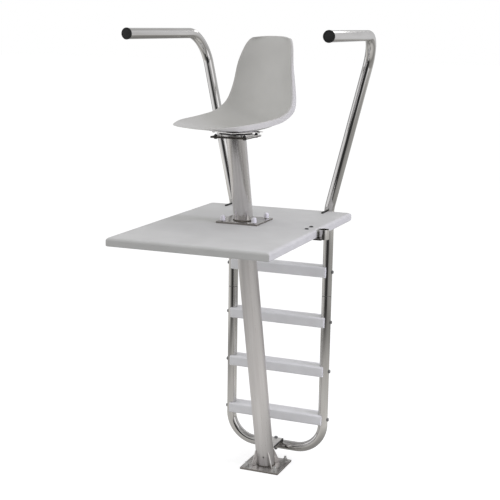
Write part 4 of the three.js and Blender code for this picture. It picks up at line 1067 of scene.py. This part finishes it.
def seatNormal(grid, row, column):
    last = len(grid) - 1
    along = grid[min(row + 1, last)][column] - grid[max(row - 1, 0)][column]
    across = grid[row][min(column + 1, seat["columns"])] - grid[row][max(column - 1, 0)]
    return across.cross(along).normalized()


def gridEdge(last):
    columns = seat["columns"]
    edge = [(0, c) for c in range(columns)] + [(r, columns) for r in range(last)]
    return edge + [(last, c) for c in range(columns, 0, -1)] + [(r, 0) for r in range(last, 0, -1)]


# The faces of two sheets over the grid, the second one facing away from the first
def sheetFaces(last, secondStart):
    faces = []
    for r in range(last):
        for c in range(seat["columns"]):
            a, d = r * seatWidth + c, (r + 1) * seatWidth + c
            faces.append((a, a + 1, d + 1, d))
            faces.append((secondStart + a, secondStart + d, secondStart + d + 1, secondStart + a + 1))
    return faces


# Directions out from the rim, evened along it so that the lip turns its corners smoothly
def lipDirections(grid, edge):
    outs = []
    for i, (row, column) in enumerate(edge):
        before, after = edge[i - 1], edge[(i + 1) % len(edge)]
        along = (grid[after[0]][after[1]] - grid[before[0]][before[1]]).normalized()
        outs.append(along.cross(seatNormal(grid, row, middleColumn)).normalized())
    for _ in range(seat["lipPasses"]):
        following = outs[1:] + outs[:1]
        outs = [(outs[i - 1] + out * 2 + following[i]).normalized() for i, out in enumerate(outs)]
    return outs


# The lip's section as steps out and down: a round bend, the skirt, its foot, and back up inside
def lipSteps(skirt):
    bend, wall, edge = seat["lipRound"] * sqrt(skirt), seat["wall"], seat["footEdge"]
    steps = [(bend * rise, bend * fall) for rise, fall in quarterRound(seat["lipSteps"], 1)]
    foot = bend + seat["flare"] * skirt
    inner = max(foot - wall, 2 * sliver)
    reach = max(seat["skirt"] * skirt, bend + 4 * sliver, wall + 3 * sliver)
    steps += [(foot, reach - edge), (foot - 5 * sliver, reach), (inner + 5 * sliver, reach)]
    return steps + [(inner, max(reach - edge, wall)), (max(bend - wall, sliver), max(bend, wall))]


def makeShell():
    rows = seatRows()
    grid = seatGrid(rows)
    last = len(grid) - 1
    points = [p for line in grid for p in line]
    under = len(points)
    for r, line in enumerate(grid):
        points += [p - seatNormal(grid, r, c) * seat["wall"] for c, p in enumerate(line)]
    faces = sheetFaces(last, under)
    edge = gridEdge(last)
    outs = lipDirections(grid, edge)
    rim = [r * seatWidth + c for r, c in edge]
    loops = [rim]
    for k in range(len(lipSteps(1))):
        loops.append(list(range(len(points), len(points) + len(edge))))
        for direction, (r, c) in zip(outs, edge):
            out, down = lipSteps(rows[r][2])[k]
            points.append(grid[r][c] + direction * out - seatNormal(grid, r, middleColumn) * down)
    loops.append([under + i for i in rim])
    return meshPiece("seat_bucket", points, faces + loopFaces(loops), seatPlastic)


# The moulded plinth under the pan, cut off inside the pan's wall. Its pale colour paints the light bounced up
# onto it from the floor
def makePlinth():
    foot = swivel["upperTop"] + seat["plinthClear"]
    radius, level = seat["plinthFoot"], foot + seat["plinthRise"]
    profile = [(radius - seat["plinthEdge"], foot), (radius, foot + seat["plinthSoft"]),
               (seat["plinthTop"], level)]
    plinth = ringSolid("plinth", turnedRings(profile, 96), capNylon)
    top = seat["pan"] + seat["panHeightShare"] * seat["height"]
    grid = seatGrid([row for row in seatRows() if row[1].z < top])
    last = len(grid) - 1
    points = [p - Vector((0, 0, seat["wall"] / 2)) for line in grid for p in line]
    upper = len(points)
    points += [Vector((p.x, p.y, seat["pan"] + seat["height"])) for p in points]
    edge = [r * seatWidth + c for r, c in gridEdge(last)]
    faces = sheetFaces(last, upper) + loopFaces([edge, [upper + i for i in edge]])
    space = meshPiece("pan_space", points, faces, capNylon)
    outward(space)
    cutAway(plinth, space)
    return plinth


def makeSeat():
    shell = makeShell()
    outward(shell)
    with bpy.context.temp_override(active_object=shell, selected_editable_objects=[shell, makePlinth()]):
        bpy.ops.object.join()
    shell.data.transform(Matrix.Translation((0, swivelY, 0)) @ Matrix.Rotation(swivel["yaw"], 4, "Z"))
    smooth(shell, 50)
    finish(shell, ["seat_shell"], "seat")


makeSeat()
print("seat made")


# The camera stands where the photograph was taken from; its middle is in the picture's own pixels
camera = {
    "place": (1.9346, -5.0664, 2.1913), "yaw": 23.25, "pitch": 13.03, "roll": 0.59,
    "focal": 1132.6, "middle": (224.07, 285.54), "picture": 500, "sensor": 36,
}


def makeCamera():
    data = bpy.data.cameras.new("studio_camera")
    picture = camera["picture"]
    data.sensor_width = camera["sensor"]
    data.lens = camera["sensor"] * camera["focal"] / picture
    data.shift_x = (picture / 2 - camera["middle"][0]) / picture
    data.shift_y = (camera["middle"][1] - picture / 2) / picture
    data.clip_end = 200
    yaw, pitch, roll = (radians(camera[key]) for key in ("yaw", "pitch", "roll"))
    forward = Vector((-sin(yaw) * cos(pitch), cos(yaw) * cos(pitch), -sin(pitch)))
    right = Vector((cos(yaw), sin(yaw), 0))
    up = right.cross(forward)
    turnedRight = right * cos(roll) + up * sin(roll)
    turnedUp = up * cos(roll) - right * sin(roll)
    axes = Matrix((turnedRight, turnedUp, -forward)).transposed().to_4x4()
    eye = linked("studio_camera", data)
    eye.matrix_world = Matrix.Translation(camera["place"]) @ axes
    scene.camera = eye


lamps = {
    "right_key": {"place": (5.0, -0.3, 3.2), "size": 2.4, "watts": 145, "colour": "#EDEAFF"},
    "left_fill": {"place": (-4.8, -1.2, 2.3), "size": 3.0, "watts": 58, "colour": "#FFFFFF"},
    "overhead": {"place": (1.2, -1.0, 5.0), "size": 1.2, "watts": 10, "colour": "#FFFFFF"},
}
studio = {
    "aim": (0, -0.4, 1.15), "horizon": 0.28, "zenith": 0.97, "backdrop": 1.0,
    "floorLift": 0.74, "floorGlow": 0.18, "floorReach": 60, "floorDrop": 0.5 * mm,
}
# The room's wall grows paler between two heights. Its ground is shaded round the chair's foot and glows by
# the wall, each fading between two distances
room = {
    "radius": 8.2, "height": 6.6, "turn": -69.1, "wallSides": 72, "discSides": 64, "groundDrop": 0.3 * mm,
    "wallTint": (0.985, 0.985, 1.0), "groundTint": (1.0, 0.985, 0.955), "roofGlow": 0.55,
    "upperWall": 0.62, "upperSpan": (3.1, 4.3), "pool": (0.4, 0.1, 0),
    "shadeCentre": (0.12, 0.25, 0), "shadeSpan": (0.2, 0.7), "footShade": 0.45,
    "glowSpan": (6.2, 7.6), "farGlow": 1.7,
}
# A long lamp high on the back wall, which draws the white line along the right handrail
strip = {"place": (0.5, 7.2, 4.6), "width": 3.4, "height": 0.6, "strength": 2.6}
# What polished metal sees round the object: degrees on from the room's dark side, then brightness
roomTones = [
    (-120, 0.85), (-110, 1.15), (-85, 0.98), (-62, 0.92), (-48, 0.38), (-37, 0.05), (-3, 0.035), (14, 0.05),
    (22, 0.85), (42, 1.15), (62, 1.45), (76, 0.50), (95, 0.52), (125, 0.70), (135, 0.80), (148, 0.72),
    (165, 0.48), (180, 0.44), (235, 0.44),
]
floorTones = [
    (-180, 0.26), (-125, 0.74), (-100, 0.80), (-76, 0.50), (-58, 0.30), (-43, 0.10), (-30, 0.045), (-3, 0.04),
    (12, 0.05), (24, 0.34), (50, 0.38), (66, 0.44), (95, 0.42), (132, 0.48), (152, 0.28), (178, 0.26),
]
# The ground's own pool of light: metres from its middle, brightness, and how much of it there is
poolTones = [
    (0, 0.80, 1), (0.6, 0.78, 1), (0.95, 0.66, 1), (1.4, 0.64, 1), (1.8, 0.54, 1), (2.6, 0.26, 0.7),
    (3.3, 0.1, 0),
]


def makeLamps():
    for name, lamp in lamps.items():
        data = bpy.data.lights.new(name, "AREA")
        data.shape = "SQUARE"
        data.size = lamp["size"]
        data.energy = lamp["watts"]
        data.color = linearColour(lamp["colour"])[:3]
        light = linked(name, data)
        light.location = lamp["place"]
        heading = Vector(studio["aim"]) - Vector(lamp["place"])
        light.rotation_euler = heading.to_track_quat("-Z", "Y").to_euler()
        light.visible_glossy = name == "overhead"


# 1 for what the camera and mirrors see, 0 for what lights the object
def rayMix(tree):
    rays = addNode(tree, "ShaderNodeLightPath").outputs
    seen = calculate(tree, "MAXIMUM", rays["Is Camera Ray"], rays["Is Glossy Ray"])
    return calculate(tree, "MAXIMUM", seen, rays["Is Transmission Ray"])


# A paint that glows, with no shine of its own
def glowPaint(name, strength=1.0, base="#000000", rough=1.0):
    return newMaterial(name, {"Base Color": linearColour(base), "Roughness": rough, "Specular IOR Level": 0.0,
                              "Emission Color": linearColour("#FFFFFF"), "Emission Strength": strength})


# A brightness that follows the angle round the object
def toneRamp(tree, source, tones, tint):
    start = tones[0][0]
    turn = (0, 0, pi - radians(room["turn"] + start))
    turned = addNode(tree, "ShaderNodeMapping", {"Vector": source, "Rotation": turn})
    angle = addNode(tree, "ShaderNodeTexGradient", {"Vector": turned}, gradient_type="RADIAL").outputs["Fac"]
    stops = [((degrees / 360 - start / 360) % 1.0001, [tone * part for part in tint] + [1])
             for degrees, tone in tones]
    return colourRamp(tree, angle, stops)


# How far the shading point is from a centre, spread from a span of metres to a span of values
def distanceRange(tree, source, centre, span, low, high):
    distance = addNode(tree, "ShaderNodeVectorMath", {0: source, 1: centre}, operation="DISTANCE")
    return mapRange(tree, distance.outputs["Value"], low, high, *span)


# A piece of the room is seen only by mirrors
def roomPiece(name, points, faces, paint):
    piece = meshPiece(name, points, faces, paint)
    piece.visible_camera = False
    piece.visible_diffuse = False
    piece.visible_shadow = False
    piece.visible_transmission = False


def wallPaint():
    paint, tree, shader = glowPaint("room_wall")
    source = objectPlace(tree)
    height = addNode(tree, "ShaderNodeSeparateXYZ", {"Vector": source}).outputs["Z"]
    upper = mapRange(tree, height, 0.0, 1.0, *room["upperSpan"])
    tones = toneRamp(tree, source, roomTones, room["wallTint"])
    pale = addNode(tree, "ShaderNodeMix", {0: upper, 6: tones, 7: [room["upperWall"]] * 3 + [1]},
                   data_type="RGBA", blend_type="LIGHTEN")
    feed(tree, shader, {"Emission Color": pale.outputs[2]})
    return paint


def groundPaint():
    paint, tree, shader = glowPaint("room_ground")
    source = objectPlace(tree)
    far = toneRamp(tree, source, floorTones, room["groundTint"])
    reach = poolTones[-1][0]
    stops = [(metres / reach, [tone * part for part in room["groundTint"]] + [share])
             for metres, tone, share in poolTones]
    pool = colourRamp(tree, distanceRange(tree, source, room["pool"], (0, reach), 0.0, 1.0), stops).outputs
    blend = addNode(tree, "ShaderNodeMix", {0: pool["Alpha"], 6: far, 7: pool["Color"]}, data_type="RGBA")
    shade = distanceRange(tree, source, room["shadeCentre"], room["shadeSpan"], room["footShade"], 1.0)
    glow = distanceRange(tree, source, (0, 0, 0), room["glowSpan"], 1.0, room["farGlow"])
    strength = calculate(tree, "MULTIPLY", shade, glow)
    feed(tree, shader, {"Emission Color": blend.outputs[2], "Emission Strength": strength})
    return paint


# The room that only mirrors see: its dark side draws the dark lines down the polished tubes
def makeRoom():
    radius, high, wallCount, count = room["radius"], room["height"], room["wallSides"], room["discSides"]
    foot, head = turnedRings([(radius, 0), (radius, high)], wallCount)
    wall = loopFaces([range(wallCount), range(wallCount, 2 * wallCount)])
    roomPiece("room_wall", foot + head, wall, wallPaint())
    ground, roof = turnedRings([(radius, -room["groundDrop"]), (radius, high)], count)
    roomPiece("room_roof", roof, [tuple(reversed(range(count)))], glowPaint("room_roof", room["roofGlow"])[0])
    roomPiece("room_ground", ground, [tuple(range(count))], groundPaint())
    (x, y, z), across, up = strip["place"], strip["width"] / 2, strip["height"] / 2
    corners = [(x + a * across, y, z + b * up) for a, b in ((-1, -1), (1, -1), (1, 1), (-1, 1))]
    roomPiece("strip_lamp", corners, [(0, 1, 2, 3)], glowPaint("strip_lamp", strip["strength"])[0])


def makeSurroundings():
    world = bpy.data.worlds.new("studio_world")
    world.use_nodes = True
    scene.world = world
    tree = world.node_tree
    source = addNode(tree, "ShaderNodeTexCoord").outputs["Generated"]
    height = addNode(tree, "ShaderNodeSeparateXYZ", {"Vector": source}).outputs["Z"]
    sky = mapRange(tree, height, studio["horizon"], studio["zenith"])
    strength = mapRange(tree, rayMix(tree), sky, studio["backdrop"])
    feed(tree, tree.nodes["Background"], {"Color": linearColour("#FFFFFF"), "Strength": strength})

    floorPaint, tree, shader = glowPaint("pale_floor", base="#A8A8A8", rough=0.9)
    lift = mapRange(tree, rayMix(tree), studio["floorGlow"], studio["floorLift"])
    feed(tree, shader, {"Emission Strength": lift})
    reach = studio["floorReach"]
    corners = levelBox(-reach, reach, -reach, reach, -studio["floorDrop"])
    meshPiece("floor", corners, [(0, 1, 2, 3)], floorPaint)


makeCamera()
makeLamps()
makeSurroundings()
makeRoom()
scene.view_settings.view_transform = "Standard"
print("studio made")
